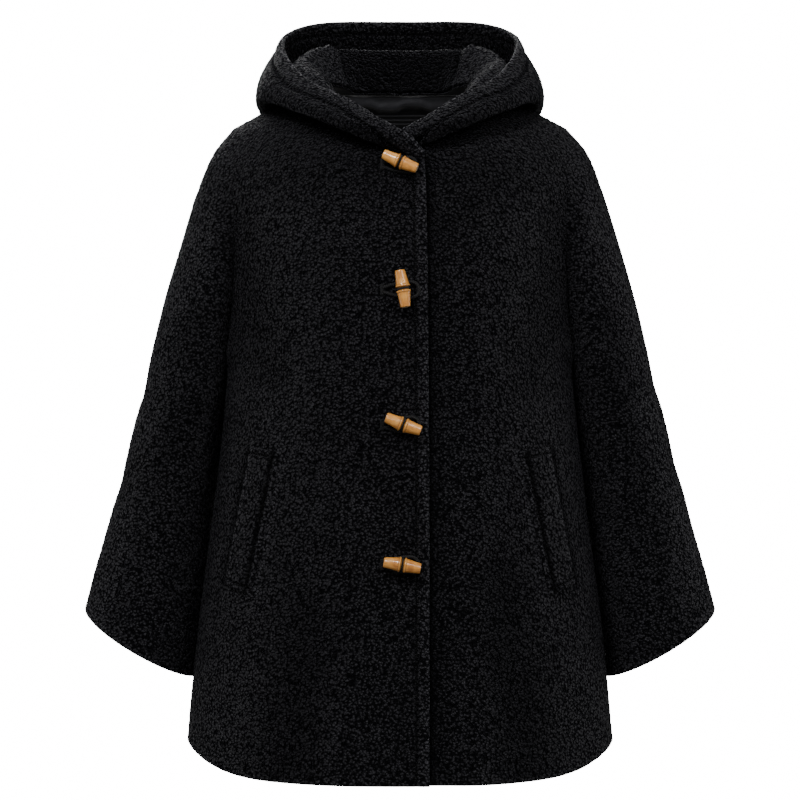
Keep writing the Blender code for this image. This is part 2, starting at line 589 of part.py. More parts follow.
def build_tie(number, x, z, tilt, material):
    """The binding in the toggle's waist with the shank that holds it to the front."""
    centre, along, normal = toggle_frame(x, z, tilt)
    seat, _normal = front_surface(x, z)
    sides = TURNED_SIDES
    inner = TOGGLE_WAIST_RADIUS + SEAT_GAP
    outer = inner + TIE_THICK
    half = TIE_HALF_WIDTH
    second = np.cross(along, normal)
    angle = 2 * np.pi * (np.arange(sides) + 0.5) / sides
    ring = np.cos(angle)[:, None] * normal + np.sin(angle)[:, None] * second
    corners = [(half, inner), (half, outer), (-half, outer), (-half, inner)]
    points = np.concatenate([centre + distance * along + radius * ring for distance, radius in corners])
    faces = []
    foot = sides // 2 - 1
    for i in range(sides):
        j = (i + 1) % sides
        for k in range(4):
            if k == 1 and i == foot:
                continue
            n = (k + 1) % 4
            faces.append((k * sides + i, n * sides + i, n * sides + j, k * sides + j))
    # The shank leaves through the ring's outer face that looks at the coat.
    top = [sides + foot, 2 * sides + foot, 2 * sides + (foot + 1) % sides, sides + (foot + 1) % sides]
    base = []
    for corner in top:
        height = (points[corner] - seat[0]).dot(normal) - SEAT_GAP
        base.append(points[corner] - normal * height)
    start = len(points)
    points = np.concatenate([points, np.array(base)])
    for k in range(4):
        n = (k + 1) % 4
        faces.append((top[k], top[n], start + n, start + k))
    faces.append((start, start + 1, start + 2, start + 3))
    add_object(f"toggle_tie_{number}", points, faces, material)


def build_loop(number, x, z, material):
    """A cord loop that lies on the front round the toggle's shank, with both ends at its tab."""
    start_x = LOOP_TAB_X + TAB_SIZE[0] / 2 + CORD_RADIUS
    reach = x + LOOP_REACH
    turn = np.linspace(-0.5 * np.pi, 0.5 * np.pi, 9)
    arc_x = reach - LOOP_HALF_WIDTH + LOOP_HALF_WIDTH * np.cos(turn)
    arc_z = z + LOOP_HALF_WIDTH * np.sin(turn)
    lead = np.linspace(0.0, 1.0, 5)[:-1]
    lead_x = start_x + (arc_x[0] - start_x) * lead
    spread_z = LOOP_START + (LOOP_HALF_WIDTH - LOOP_START) * np.sin(lead * np.pi / 2)
    path_x = np.concatenate([lead_x, arc_x, lead_x[::-1]])
    path_z = np.concatenate([z - spread_z, arc_z, z + spread_z[::-1]])
    points, normals = front_surface(path_x, path_z)
    points = points + normals * (CORD_RADIUS + SEAT_GAP)
    curve = bpy.data.curves.new(f"loop_{number}", "CURVE")
    curve.dimensions = "3D"
    curve.bevel_depth = CORD_RADIUS
    curve.bevel_resolution = 2
    curve.use_fill_caps = True
    spline = curve.splines.new("POLY")
    spline.points.add(len(points) - 1)
    for place, point in zip(spline.points, points):
        place.co = (*point, 1.0)
    curve.materials.append(material)
    piece = bpy.data.objects.new(f"loop_{number}", curve)
    bpy.context.scene.collection.objects.link(piece)


def build_tab(number, z, material):
    """The short bar tab that holds a loop's ends, a small block standing on the front."""
    width, depth, height = TAB_SIZE
    flat = np.array([(LOOP_TAB_X + sx * width / 2, z + sz * height / 2)
                     for sx, sz in ((-1, -1), (1, -1), (1, 1), (-1, 1))])
    points, normals = front_surface(flat[:, 0], flat[:, 1])
    back = points + normals * SEAT_GAP
    front = points + normals * (SEAT_GAP + depth)
    faces = [(0, 3, 2, 1), (4, 5, 6, 7), (0, 1, 5, 4), (1, 2, 6, 5), (2, 3, 7, 6), (3, 0, 4, 7)]
    add_object(f"loop_tab_{number}", np.concatenate([back, front]), faces, material)


def build_coat():
    """Clear the scene and build every piece."""
    for old in list(bpy.data.objects):
        bpy.data.objects.remove(old)
    cloth = new_material("curled_wool", (0.010, 0.010, 0.012), 0.95)
    satin = new_material("lining_satin", (0.012, 0.012, 0.014), 0.40)
    bamboo = new_material("bamboo", (0.62, 0.36, 0.15), 0.35)
    cord = new_material("black_cord", (0.012, 0.012, 0.013), 0.60)
    build_cloth(cloth)
    build_lining(satin)
    build_welt("welt_right", RIGHT, cloth)
    build_welt("welt_left", LEFT, cloth)
    for number, (x, z, tilt) in enumerate(TOGGLES, start=1):
        build_toggle(number, x, z, tilt, bamboo)
        build_tie(number, x, z, tilt, cord)
        build_loop(number, x, z, cord)
        build_tab(number, z, cord)


build_coat()
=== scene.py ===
import bpy
import numpy as np
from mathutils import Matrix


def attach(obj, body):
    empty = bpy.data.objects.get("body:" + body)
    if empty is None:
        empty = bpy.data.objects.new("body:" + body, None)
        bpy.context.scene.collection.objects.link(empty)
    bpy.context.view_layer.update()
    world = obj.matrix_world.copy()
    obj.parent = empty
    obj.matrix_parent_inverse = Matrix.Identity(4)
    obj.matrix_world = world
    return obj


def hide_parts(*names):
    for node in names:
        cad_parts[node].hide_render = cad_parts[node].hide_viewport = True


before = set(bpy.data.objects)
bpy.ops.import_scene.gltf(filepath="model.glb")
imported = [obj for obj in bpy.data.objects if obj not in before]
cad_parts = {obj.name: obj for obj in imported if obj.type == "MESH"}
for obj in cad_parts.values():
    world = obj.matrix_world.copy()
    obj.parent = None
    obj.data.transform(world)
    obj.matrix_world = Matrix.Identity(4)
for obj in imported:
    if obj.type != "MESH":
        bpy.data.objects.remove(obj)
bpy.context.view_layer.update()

# ------------------------------------------------------------------ the fronts and the back
# Two fronts and a one-piece back of curled wool coating, sewn at the shoulders and down the sides.
# The right front lies over the left one and has a topstitched edge; the hem is turned up and left plain.
CLOTH = 0.003             # the wall with its pile
PRESS = 0.0085            # the under front lies this far behind the over front
UNDERARM_FLARE = 0.0045   # the side bulges this far at the underarm
EDGE_ROUND = 0.0020       # the turned edges are round
CURL = 0.0056             # spacing of the curls of the pile
CURL_HEIGHT = 0.0014
STITCH_LINE = 0.0150      # topstitching runs this far inside an edge
STITCH_WIDTH = 0.0018
STITCH_DEPTH = 0.0020
FACING = 0.045            # the wool turned up inside the hem and cuffs, past it comes the lining
BACK_UNDERARM, BACK_NECK, BACK_TOP = 6, 12, 15      # lines of the two tables at these places
FRONT_UNDERARM, FRONT_PIT, FRONT_TOP = 6, 10, 13
LOWER_ROWS = 180          # rows of the mesh from the hem to the underarm
FRONT_ROWS = (90, 46)     # and on to the front of the neck, and to the shoulder
BACK_ROWS = (126, 24)     # and on to the back of the neck, and to the shoulder

# centre_y, centre_z, side_x, side_y, side_z, angle, drop, neck of each section, hem to shoulder
FRONT = np.array([
    (-0.155, -0.792, 0.2555, 0.010, -0.757, 90, 6.0, -0.0340),
    (-0.153, -0.700, 0.2505, 0.010, -0.700, 90, 6.0, -0.0340),
    (-0.150, -0.600, 0.2395, 0.010, -0.600, 90, 4.0, -0.0340),
    (-0.1475, -0.500, 0.2265, 0.010, -0.500, 90, 2.0, -0.0340),
    (-0.1455, -0.400, 0.2150, 0.010, -0.400, 90, 2.0, -0.0335),
    (-0.1432, -0.310, 0.2058, 0.010, -0.310, 90, 2.0, -0.0333),
    (-0.1425, -0.288, 0.2040, 0.010, -0.288, 90, 2.0, -0.0330),
    (-0.139, -0.225, 0.1990, -0.028, -0.222, 82, 2.0, -0.0325),
    (-0.134, -0.170, 0.1970, -0.048, -0.160, 70, 2.0, -0.0318),
    (-0.126, -0.118, 0.1970, -0.050, -0.105, 58, 2.0, -0.0308),
    (-0.114, -0.066, 0.1980, -0.038, -0.066, 50, 2.0, -0.0285),
    (-0.094, -0.032, 0.1985, -0.022, -0.046, 44, 2.0, 0.048),
    (-0.052, 0.012, 0.1990, -0.006, -0.032, 39, 1.8, 0.073),
    (0.025, 0.054, 0.2000, 0.014, -0.022, 35, 1.6, 0.087)])
BACK = np.array([
    (0.175, -0.792, 0.2555, 0.010, -0.757, 90, 6.0, 0.0),
    (0.172, -0.700, 0.2505, 0.010, -0.700, 90, 6.0, 0.0),
    (0.166, -0.600, 0.2395, 0.010, -0.600, 90, 4.0, 0.0),
    (0.159, -0.500, 0.2265, 0.010, -0.500, 90, 2.0, 0.0),
    (0.152, -0.400, 0.2150, 0.010, -0.400, 90, 2.0, 0.0),
    (0.147, -0.310, 0.2058, 0.010, -0.310, 90, 2.0, 0.0),
    (0.145, -0.288, 0.2040, 0.010, -0.288, 90, 2.0, 0.0),
    (0.141, -0.225, 0.1990, 0.055, -0.222, 82, 2.0, 0.0),
    (0.137, -0.165, 0.1935, 0.080, -0.160, 70, 2.0, 0.0),
    (0.128, -0.105, 0.1920, 0.082, -0.105, 58, 2.0, 0.0),
    (0.112, -0.050, 0.1935, 0.064, -0.062, 50, 2.0, 0.0),
    (0.090, -0.004, 0.1960, 0.044, -0.042, 44, 2.0, 0.0),
    (0.068, 0.026, 0.1980, 0.030, -0.031, 40, 1.8, 0.0),
    (0.0615, 0.032, 0.1983, 0.0275, -0.0296, 39.2, 1.8, 0.052),
    (0.048, 0.043, 0.1990, 0.021, -0.026, 37, 1.7, 0.066),
    (0.025, 0.054, 0.2000, 0.014, -0.022, 35, 1.6, 0.087)])

# Soft valleys pressed into the cloth: side of the coat (-1 front, 1 back), start and end (x, z),
# width and depth.  A minus depth raises a soft ridge.
BODY_CREASES = [
    (-1, (0.190, -0.140), (0.150, -0.330), 0.030, 0.0030),
    (-1, (-0.190, -0.140), (-0.155, -0.320), 0.030, 0.0030),
    (-1, (0.110, -0.560), (0.150, -0.800), 0.034, 0.0035),
    (-1, (-0.100, -0.600), (-0.130, -0.800), 0.034, 0.0030),
    (-1, (0.060, -0.420), (0.072, -0.800), 0.040, -0.0022),
    (-1, (-0.050, -0.480), (-0.060, -0.800), 0.040, -0.0018),
    (-1, (0.052, -0.150), (0.100, -0.110), 0.022, 0.0016),
    (1, (0.170, -0.160), (0.120, -0.340), 0.034, 0.0040),
    (1, (-0.170, -0.160), (-0.125, -0.350), 0.034, 0.0040),
    (1, (0.090, -0.470), (0.125, -0.800), 0.040, 0.0045),
    (1, (-0.085, -0.500), (-0.115, -0.800), 0.040, 0.0042),
    (1, (0.000, -0.420), (0.005, -0.800), 0.045, -0.0030),
    (1, (0.180, -0.600), (0.205, -0.800), 0.030, -0.0028),
    (1, (-0.180, -0.600), (-0.205, -0.800), 0.030, -0.0028),
    (-1, (0.2035, -0.100), (0.2085, -0.310), 0.011, 0.0016),
    (-1, (-0.2035, -0.100), (-0.2085, -0.310), 0.011, 0.0016)]

# x and z of the hood's lower outline, below which the front gets a painted shadow
UNDER_HOOD = [(0.0, -0.058), (0.020, -0.053), (0.044, -0.0448), (0.079, -0.0355), (0.115, -0.0227),
              (0.150, -0.0145), (0.166, -0.002), (0.175, 0.030), (0.185, 0.20)]


def limited_slopes(knots, values):
    """Slopes of a cubic that never overshoots: the harmonic mean of the two chords, or 0 at a turn."""
    chord = np.diff(values, axis=0) / np.diff(knots)[:, None]
    slopes = np.zeros_like(values)
    before, after = chord[:-1], chord[1:]
    same = before * after > 0
    slopes[1:-1] = np.where(same, 2.0 * before * after / np.where(same, before + after, 1.0), 0.0)
    slopes[0], slopes[-1] = chord[0], chord[-1]
    return slopes


def round_slopes(knots, values):
    """Slopes of a rounder cubic: the chord between the two neighbours."""
    slopes = np.empty_like(values)
    slopes[1:-1] = (values[2:] - values[:-2]) / (knots[2:] - knots[:-2])[:, None]
    slopes[0] = (values[1] - values[0]) / (knots[1] - knots[0])
    slopes[-1] = (values[-1] - values[-2]) / (knots[-1] - knots[-2])
    return slopes


def cubic(knots, values, at, slope_rule):
    """Cubic Hermite curve through values at knots, read at the places in at."""
    knots, values = np.asarray(knots, float), np.asarray(values, float)
    shape = values.shape[1:]
    values = values.reshape(len(knots), -1)
    slopes = slope_rule(knots, values)
    at = np.atleast_1d(np.asarray(at, float))
    cell = np.clip(np.searchsorted(knots, at, side="right") - 1, 0, len(knots) - 2)
    width = (knots[cell + 1] - knots[cell])[:, None]
    part = (at[:, None] - knots[cell][:, None]) / width
    result = ((2 * part ** 3 - 3 * part ** 2 + 1) * values[cell]
              + (part ** 3 - 2 * part ** 2 + part) * width * slopes[cell]
              + (3 * part ** 2 - 2 * part ** 3) * values[cell + 1]
              + (part ** 3 - part ** 2) * width * slopes[cell + 1])
    return result.reshape((len(at),) + shape)


def eased(value):
    """0 to 1 with soft ends: 3 v squared - 2 v cubed."""
    value = np.clip(value, 0.0, 1.0)
    return value * value * (3.0 - 2.0 * value)


def section_at(table, level):
    """The table's columns at each level, where level 0 is its first row and 1 is the next."""
    return cubic(np.arange(len(table)), table, level, limited_slopes).T


def section_point(table, level, turn):
    """x is side_x * sin(turn) / sin(angle), y runs from centre_y to side_y as 1 - cos(turn), and z from
    centre_z to side_z as the share of x to the power drop.  The side flares a little at the underarm."""
    centre_y, centre_z, side_x, side_y, side_z, angle, drop, _neck = section_at(table, level)
    angle = np.radians(angle)
    share = np.sin(turn) / np.sin(angle)[:, None]
    flare = UNDERARM_FLARE * eased(1.0 - np.abs(level - FRONT_UNDERARM))[:, None] * np.abs(share) ** 12
    x = (side_x[:, None] + flare) * share
    y = centre_y[:, None] + (side_y - centre_y)[:, None] * (1 - np.cos(turn)) / (1 - np.cos(angle))[:, None]
    z = centre_z[:, None] + (side_z - centre_z)[:, None] * np.abs(share) ** drop[:, None]
    return np.stack([x, y, z], axis=-1)


def even_levels(table, start, end, rows):
    """Levels from start to end whose heights are evenly spaced, halfway between centre line and side."""
    fine = np.linspace(start, end, 60 * (end - start) + 1)
    centre_y, centre_z, _x, side_y, side_z = section_at(table, fine)[:5]
    step = np.hypot(np.diff(centre_y + side_y), np.diff(centre_z + side_z))
    length = np.concatenate([[0.0], np.cumsum(step)])
    return np.interp(np.linspace(0.0, length[-1], rows + 1), length, fine)


def joined(*runs):
    """Runs of levels end to end, without repeating the joints."""
    return np.concatenate([run[:-1] for run in runs[:-1]] + [runs[-1]])


def half_panel(table, levels, across):
    """Half a panel: rows up the levels, columns from the side (across 0) in to the cut edge (across 1)."""
    columns = section_at(table, levels)
    angle = np.radians(columns[5])
    cut = np.arcsin(np.clip(columns[7] / columns[2] * np.sin(angle), -1.0, 1.0))
    return section_point(table, levels, angle[:, None] + (cut - angle)[:, None] * across[None, :])


def pressed(points, amount=PRESS, full=0.040, end=0.100):
    """The under front and hood half: moved back near the middle line, not behind the neck."""
    across = eased((end - points[..., 0]) / (end - full))
    ahead = eased((-0.060 - points[..., 1]) / 0.030)
    result = points.copy()
    result[..., 1] += amount * across * ahead
    return result


def mirrored(grid, side):
    """The same grid on the wearer's left (1) or right (-1)."""
    return grid * np.array([side, 1.0, 1.0])


def running_length(grid, axis):
    """Distance along the grid's rows (axis 0) or columns (axis 1) from its first point."""
    step = np.linalg.norm(np.diff(grid, axis=axis), axis=-1)
    start = np.zeros_like(np.take(grid[..., 0], [0], axis=axis))
    return np.concatenate([start, np.cumsum(step, axis=axis)], axis=axis)


def scattered(cell, channel):
    """A fixed number from 0 to 1 for each whole-number cell, by multiplying and mixing its bits."""
    mask = np.uint64(0xFFFFFFFF)
    cell = cell.astype(np.int64).astype(np.uint64)
    mix = (cell[..., 0] * np.uint64(73856093)) ^ (cell[..., 1] * np.uint64(19349663))
    mix = (mix ^ (cell[..., 2] * np.uint64(83492791)) ^ np.uint64(2654435761 * (channel + 1))) & mask
    mix = ((mix ^ (mix >> np.uint64(15))) * np.uint64(2246822519)) & mask
    mix = ((mix ^ (mix >> np.uint64(13))) * np.uint64(3266489917)) & mask
    return ((mix ^ (mix >> np.uint64(16))) & mask).astype(float) / 4294967295.0


def curls(points, spacing):
    """Height of the curled pile, 0 to 1: a dome over each scattered curl, which is
    1 - (distance / spacing) squared."""
    place = points / spacing
    base = np.floor(place)
    nearest = np.full(len(points), 9.0)
    for corner in np.ndindex(3, 3, 3):
        cell = base + (np.array(corner) - 1)
        curl = cell + np.stack([scattered(cell, channel) for channel in range(3)], axis=-1)
        nearest = np.minimum(nearest, ((place - curl) ** 2).sum(axis=-1))
    return np.clip(1.0 - nearest, 0.0, 1.0)


def uneven(points, size):
    """Soft unevenness, -1 to 1: scattered values at the corners of cells of that size, eased between."""
    place = points / size
    base = np.floor(place)
    share = eased(place - base)
    total = np.zeros(len(points))
    for corner in np.ndindex(2, 2, 2):
        corner = np.array(corner)
        weight = np.prod(np.where(corner == 1, share, 1.0 - share), axis=-1)
        total += weight * scattered(base + corner, 7)
    return 2.0 * total - 1.0


def line_distance(flat, start, end):
    """Distance of each (x, z) from the straight line between two such points."""
    start, along = np.array(start), np.array(end) - np.array(start)
    share = np.clip((flat - start) @ along / (along @ along), 0.0, 1.0)
    return np.linalg.norm(flat - start - share[..., None] * along, axis=-1)


def creased(points, creases):
    """Depth of the hand-placed valleys: depth * exp(-(distance from the line / width) squared)."""
    total = np.zeros(len(points))
    for side, start, end, width, depth in creases:
        distance = line_distance(points[:, [0, 2]], start, end)
        facing = eased(0.5 + (points[:, 1] * side - 0.01) / 0.06)
        total += depth * facing * np.exp(-(distance / width) ** 2)
    return total


def quads(index):
    """The four corners of each cell of a grid of point numbers."""
    corners = [index[:-1, :-1], index[:-1, 1:], index[1:, 1:], index[1:, :-1]]
    return np.stack(corners, axis=-1).reshape(-1, 4)


def point_normals(points, faces):
    """Unit normal at each point, the sum of its faces' area normals."""
    area = np.cross(points[faces[:, 2]] - points[faces[:, 0]], points[faces[:, 3]] - points[faces[:, 1]])
    total = np.stack([np.bincount(faces.reshape(-1), weights=np.repeat(area[:, axis], 4),
                                  minlength=len(points)) for axis in range(3)], axis=-1)
    return total / np.maximum(np.linalg.norm(total, axis=1), 1e-12)[:, None]


def add_piece(name, points, face_groups, materials, material_index=None, values=None):
    """One object from points and groups of faces, each group an array with its own number of corners."""
    face_groups = [group for group in face_groups if len(group)]
    corners = np.concatenate([group.reshape(-1) for group in face_groups])
    sizes = np.concatenate([np.full(len(group), group.shape[1]) for group in face_groups])
    starts = np.concatenate([[0], np.cumsum(sizes)[:-1]])
    mesh = bpy.data.meshes.new(name)
    mesh.vertices.add(len(points))
    mesh.vertices.foreach_set("co", points.astype(np.float32).ravel())
    mesh.loops.add(len(corners))
    mesh.loops.foreach_set("vertex_index", corners.astype(np.int32))
    mesh.polygons.add(len(sizes))
    mesh.polygons.foreach_set("loop_start", starts.astype(np.int32))
    for material in materials:
        mesh.materials.append(material)
    if material_index is not None:
        mesh.polygons.foreach_set("material_index", material_index.astype(np.int32))
    mesh.update(calc_edges=True)
    mesh.polygons.foreach_set("use_smooth", np.ones(len(sizes), bool))
    for key, value in (values or {}).items():
        mesh.attributes.new(key, "FLOAT", "POINT").data.foreach_set("value", value.astype(np.float32))
    piece = bpy.data.objects.new(name, mesh)
    bpy.context.scene.collection.objects.link(piece)
    return piece


def seam_distance(points, seam):
    """Distance of each point, either side of the coat, from the nearest point of a seam."""
    folded = np.column_stack([np.abs(points[:, 0]), points[:, 1:]])
    nearest = np.ones(len(points))
    for start in range(0, len(points), 4000):
        part = folded[start:start + 4000]
        nearest[start:start + 4000] = np.sqrt(((part[:, None] - seam[None]) ** 2).sum(axis=2).min(axis=1))
    return nearest


def cloth_wall(name, panels, creases, materials, step=2, curled_inside=False, facing_past=None,
               rim_extra=0.0, seam=None):
    """A closed wall of cloth from panels of (points, turned, distance to a free edge, to a stitched edge,
    shade of the outer side, shade of the inner side).

    The outer side is the panel moved along its normal by the pile's curls, less the creases and the
    stitched groove, and falls in a quarter round at a free edge.  The inner side lies CLOTH behind it,
    on every step-th row and column, and a strip joins the two along each open edge.  Near the armhole
    seam nothing is pressed in and the cloth is raised a little, most at the underarm, so that both sides
    of the seam meet.  Shade is painted shade, how much the colour is darkened (1 is black): in the creases,
    the stitched groove, the armhole fold and as given for each panel; below 0 it is a painted highlight.
    """
    grids, firsts, count = [], [], 0
    for grid, turned, *measures in panels:
        measures = [np.broadcast_to(measure, grid.shape[:2])[..., None] for measure in measures]
        layers = np.concatenate([grid] + measures, axis=-1)
        layers = layers[:, ::-1] if turned else layers
        grids.append(layers.reshape(-1, 7))
        firsts.append(count + np.arange(len(grids[-1])).reshape(layers.shape[:2]))
        count += len(grids[-1])
    layers = np.concatenate(grids)
    places = np.round(layers[:, :3], 6)
    _places, keep, where = np.unique(places, axis=0, return_index=True, return_inverse=True)
    where = where.reshape(-1)
    layers = layers[keep]
    indexes = [where[first] for first in firsts]
    points, free, stitched, shade_out, shade_in = layers[:, :3], *layers[:, 3:].T
    faces = np.concatenate([quads(index) for index in indexes])
    normals = point_normals(points, faces)
    hollow = creased(points, creases)
    near, pit, fold = np.zeros((3, len(points)))
    if seam is not None:
        away = seam_distance(points, seam)
        near = np.exp(-(away / 0.014) ** 2)
        pit = np.exp(-(seam_distance(points, seam[np.argmin(seam[:, 2])][None]) / 0.028) ** 2)
        # painted shade in the fold along the armhole seam, below the shoulder
        fold = 0.80 * np.exp(-(away / 0.0065) ** 2) * eased((-0.12 - points[:, 2]) / 0.05)
    soft = points + normals * (0.0009 * near + 0.0040 * pit)[:, None]
    soft += normals * ((0.0007 * uneven(points, 0.055) - hollow) * (1.0 - near))[:, None]
    fall = EDGE_ROUND * (1.0 - np.sqrt(1.0 - np.clip(1.0 - free / EDGE_ROUND, 0.0, 0.93) ** 2))
    groove = np.exp(-((stitched - STITCH_LINE) / STITCH_WIDTH) ** 2)
    puff = np.exp(-((stitched - 0.42 * STITCH_LINE) / 0.006) ** 2)
    # painted highlight on the band inside a stitched edge and along a free edge, less painted shade in the
    # creases, the stitched groove and the armhole fold
    painted_light = 0.35 * eased((STITCH_LINE - stitched) / 0.004) + 0.5 * np.exp(-((free - 0.002) / 0.003) ** 2)
    painted_light -= np.clip(hollow / 0.004, -0.25, 0.8) * 0.5 + 0.45 * groove + fold
    pile = CURL_HEIGHT * (curls(points, CURL) - 0.45) * (1.0 - 0.6 * groove) * (1.0 - near)
    outer = soft + normals * (pile - fall - STITCH_DEPTH * groove + 0.0015 * puff)[:, None]
    coarse = np.unique(np.concatenate([index[::step, ::step].reshape(-1) for index in indexes]))
    inside = CLOTH - fall + rim_extra * np.exp(-(free / 0.009) ** 2)
    if curled_inside:
        inside = inside + CURL_HEIGHT * (curls(points + 1.0, CURL) - 0.45) - STITCH_DEPTH * groove
    inner = (soft - normals * inside[:, None])[coarse]
    number = np.full(len(points), -1)
    number[coarse] = len(points) + np.arange(len(coarse))
    inner_faces = np.concatenate([quads(number[index[::step, ::step]]) for index in indexes])[:, ::-1]
    runs = []
    for index in indexes:
        for side in (index[0], index[:, -1], index[-1, ::-1], index[::-1, 0]):
            starts = np.arange(0, len(side) - 1, step)
            runs.append(side[starts[:, None] + np.arange(step + 1)[None, :]])
    runs = np.concatenate(runs)
    ahead = runs[:, 0] * len(points) + runs[:, -1]
    back = runs[:, -1] * len(points) + runs[:, 0]
    runs = runs[~np.isin(ahead, back)]
    strips = np.concatenate([runs[:, ::-1], number[runs[:, [0, -1]]]], axis=1)
    every = np.concatenate([outer, inner])
    inner_groove = groove[coarse] if curled_inside else np.zeros(len(coarse))
    values = {"stitch": np.concatenate([groove, inner_groove]),
              "shade": np.concatenate([shade_out - painted_light, shade_in[coarse] - painted_light[coarse]])}
    lined = np.zeros(len(inner_faces), int)
    if facing_past is not None:
        middle = free[coarse][inner_faces - len(points)].mean(axis=1)
        lined = (middle > facing_past).astype(int)
    slots = np.concatenate([np.zeros(len(faces), int), lined, np.zeros(len(strips), int)])
    piece = add_piece(name, every, [faces, inner_faces, strips], materials, slots, values)
    area = np.linalg.norm(np.cross(points[faces[:, 2]] - points[faces[:, 0]],
                                   points[faces[:, 3]] - points[faces[:, 1]]), axis=1).sum() / 2
    return piece, float(area)


def new_finish(name, colour, roughness, specular=0.5):
    """A material and its shader, links and a maker of further nodes."""
    material = bpy.data.materials.new(name)
    material.use_nodes = True
    tree = material.node_tree
    shader = tree.nodes["Principled BSDF"]
    shader.inputs["Base Color"].default_value = (*colour, 1.0)
    shader.inputs["Roughness"].default_value = roughness
    shader.inputs["Specular IOR Level"].default_value = specular

    def add(kind, operation=None, **inputs):
        node = tree.nodes.new(kind)
        if operation:
            node.operation = operation
        for key, value in inputs.items():
            socket = node.inputs[int(key[1:])] if key[0] == "i" and key[1:].isdigit() else node.inputs[key]
            if isinstance(value, bpy.types.NodeSocket):
                tree.links.new(value, socket)
            else:
                socket.default_value = value
        return node

    return material, shader, add, tree.links


def painted(add, name):
    """A value that is stored at the mesh's points."""
    node = add("ShaderNodeAttribute")
    node.attribute_name = name
    return node.outputs["Fac"]


def roughened(add, links, shader, height, strength, distance):
    """The shader's normal follows a height."""
    bump = add("ShaderNodeBump", Height=height, Strength=strength, Distance=distance)
    links.new(bump.outputs["Normal"], shader.inputs["Normal"])


def wool_finish():
    """Curled wool: small round curls in two sizes with painted shade in the gaps between them and lighter
    tops, fine fibre on top.  Along a stitched line the curls lie flat and the colour is darkened there as
    painted shade; the stored shade darkens the colour further as painted shade, or below 0 lightens it as a
    painted highlight."""
    material, shader, add, links = new_finish("curled_wool", (0.008, 0.008, 0.0095), 0.62, 0.34)
    shader.inputs["Sheen Weight"].default_value = 0.05
    shader.inputs["Sheen Roughness"].default_value = 0.45
    shader.inputs["Sheen Tint"].default_value = (0.78, 0.78, 0.88, 1.0)
    place = add("ShaderNodeTexCoord").outputs["Object"]
    drift = add("ShaderNodeTexNoise", Vector=place, Scale=190.0, Detail=2.0)
    moved = add("ShaderNodeVectorMath", "MULTIPLY_ADD", i0=drift.outputs["Color"],
                i1=(0.0030, 0.0030, 0.0030), i2=place).outputs[0]
    big = add("ShaderNodeTexVoronoi", Vector=moved, Scale=310.0)
    small = add("ShaderNodeTexVoronoi", Vector=moved, Scale=600.0)
    fibre = add("ShaderNodeTexNoise", Vector=moved, Scale=1700.0, Detail=3.0, Roughness=0.7)
    square = add("ShaderNodeMath", "MULTIPLY", i0=big.outputs["Distance"], i1=big.outputs["Distance"])
    dome = add("ShaderNodeMath", "MULTIPLY_ADD", i0=square.outputs[0], i1=-1.9, i2=1.0)
    knot = add("ShaderNodeMath", "MULTIPLY_ADD", i0=small.outputs["Distance"], i1=-0.45, i2=dome.outputs[0])
    height = add("ShaderNodeMath", "MULTIPLY_ADD", i0=fibre.outputs["Fac"], i1=0.20, i2=knot.outputs[0])
    patch = add("ShaderNodeTexNoise", Vector=place, Scale=70.0, Detail=2.0)
    shade = add("ShaderNodeMath", "MULTIPLY_ADD", i0=patch.outputs["Fac"], i1=0.22, i2=height.outputs[0])
    shade = add("ShaderNodeMath", "MULTIPLY_ADD", i0=painted(add, "stitch"), i1=-0.55, i2=shade.outputs[0])
    tint = add("ShaderNodeValToRGB", Fac=shade.outputs[0])
    ramp = tint.color_ramp
    ramp.elements[0].position, ramp.elements[0].color = 0.30, (0.0016, 0.0016, 0.0020, 1.0)
    ramp.elements[1].position, ramp.elements[1].color = 1.00, (0.0205, 0.0198, 0.0250, 1.0)
    ramp.elements.new(0.68).color = (0.0066, 0.0063, 0.0082, 1.0)
    light = add("ShaderNodeMath", "SUBTRACT", i0=1.0, i1=painted(add, "shade"))
    colour = add("ShaderNodeVectorMath", "SCALE", i0=tint.outputs["Color"], i3=light.outputs[0])
    links.new(colour.outputs[0], shader.inputs["Base Color"])
    shine = add("ShaderNodeMath", "MULTIPLY_ADD", i0=height.outputs[0], i1=0.50, i2=-0.10)
    shine.use_clamp = True
    shine = add("ShaderNodeMath", "MULTIPLY", i0=shine.outputs[0], i1=light.outputs[0])
    links.new(shine.outputs[0], shader.inputs["Specular IOR Level"])
    roughened(add, links, shader, height.outputs[0], 1.0, 0.0030)
    return material


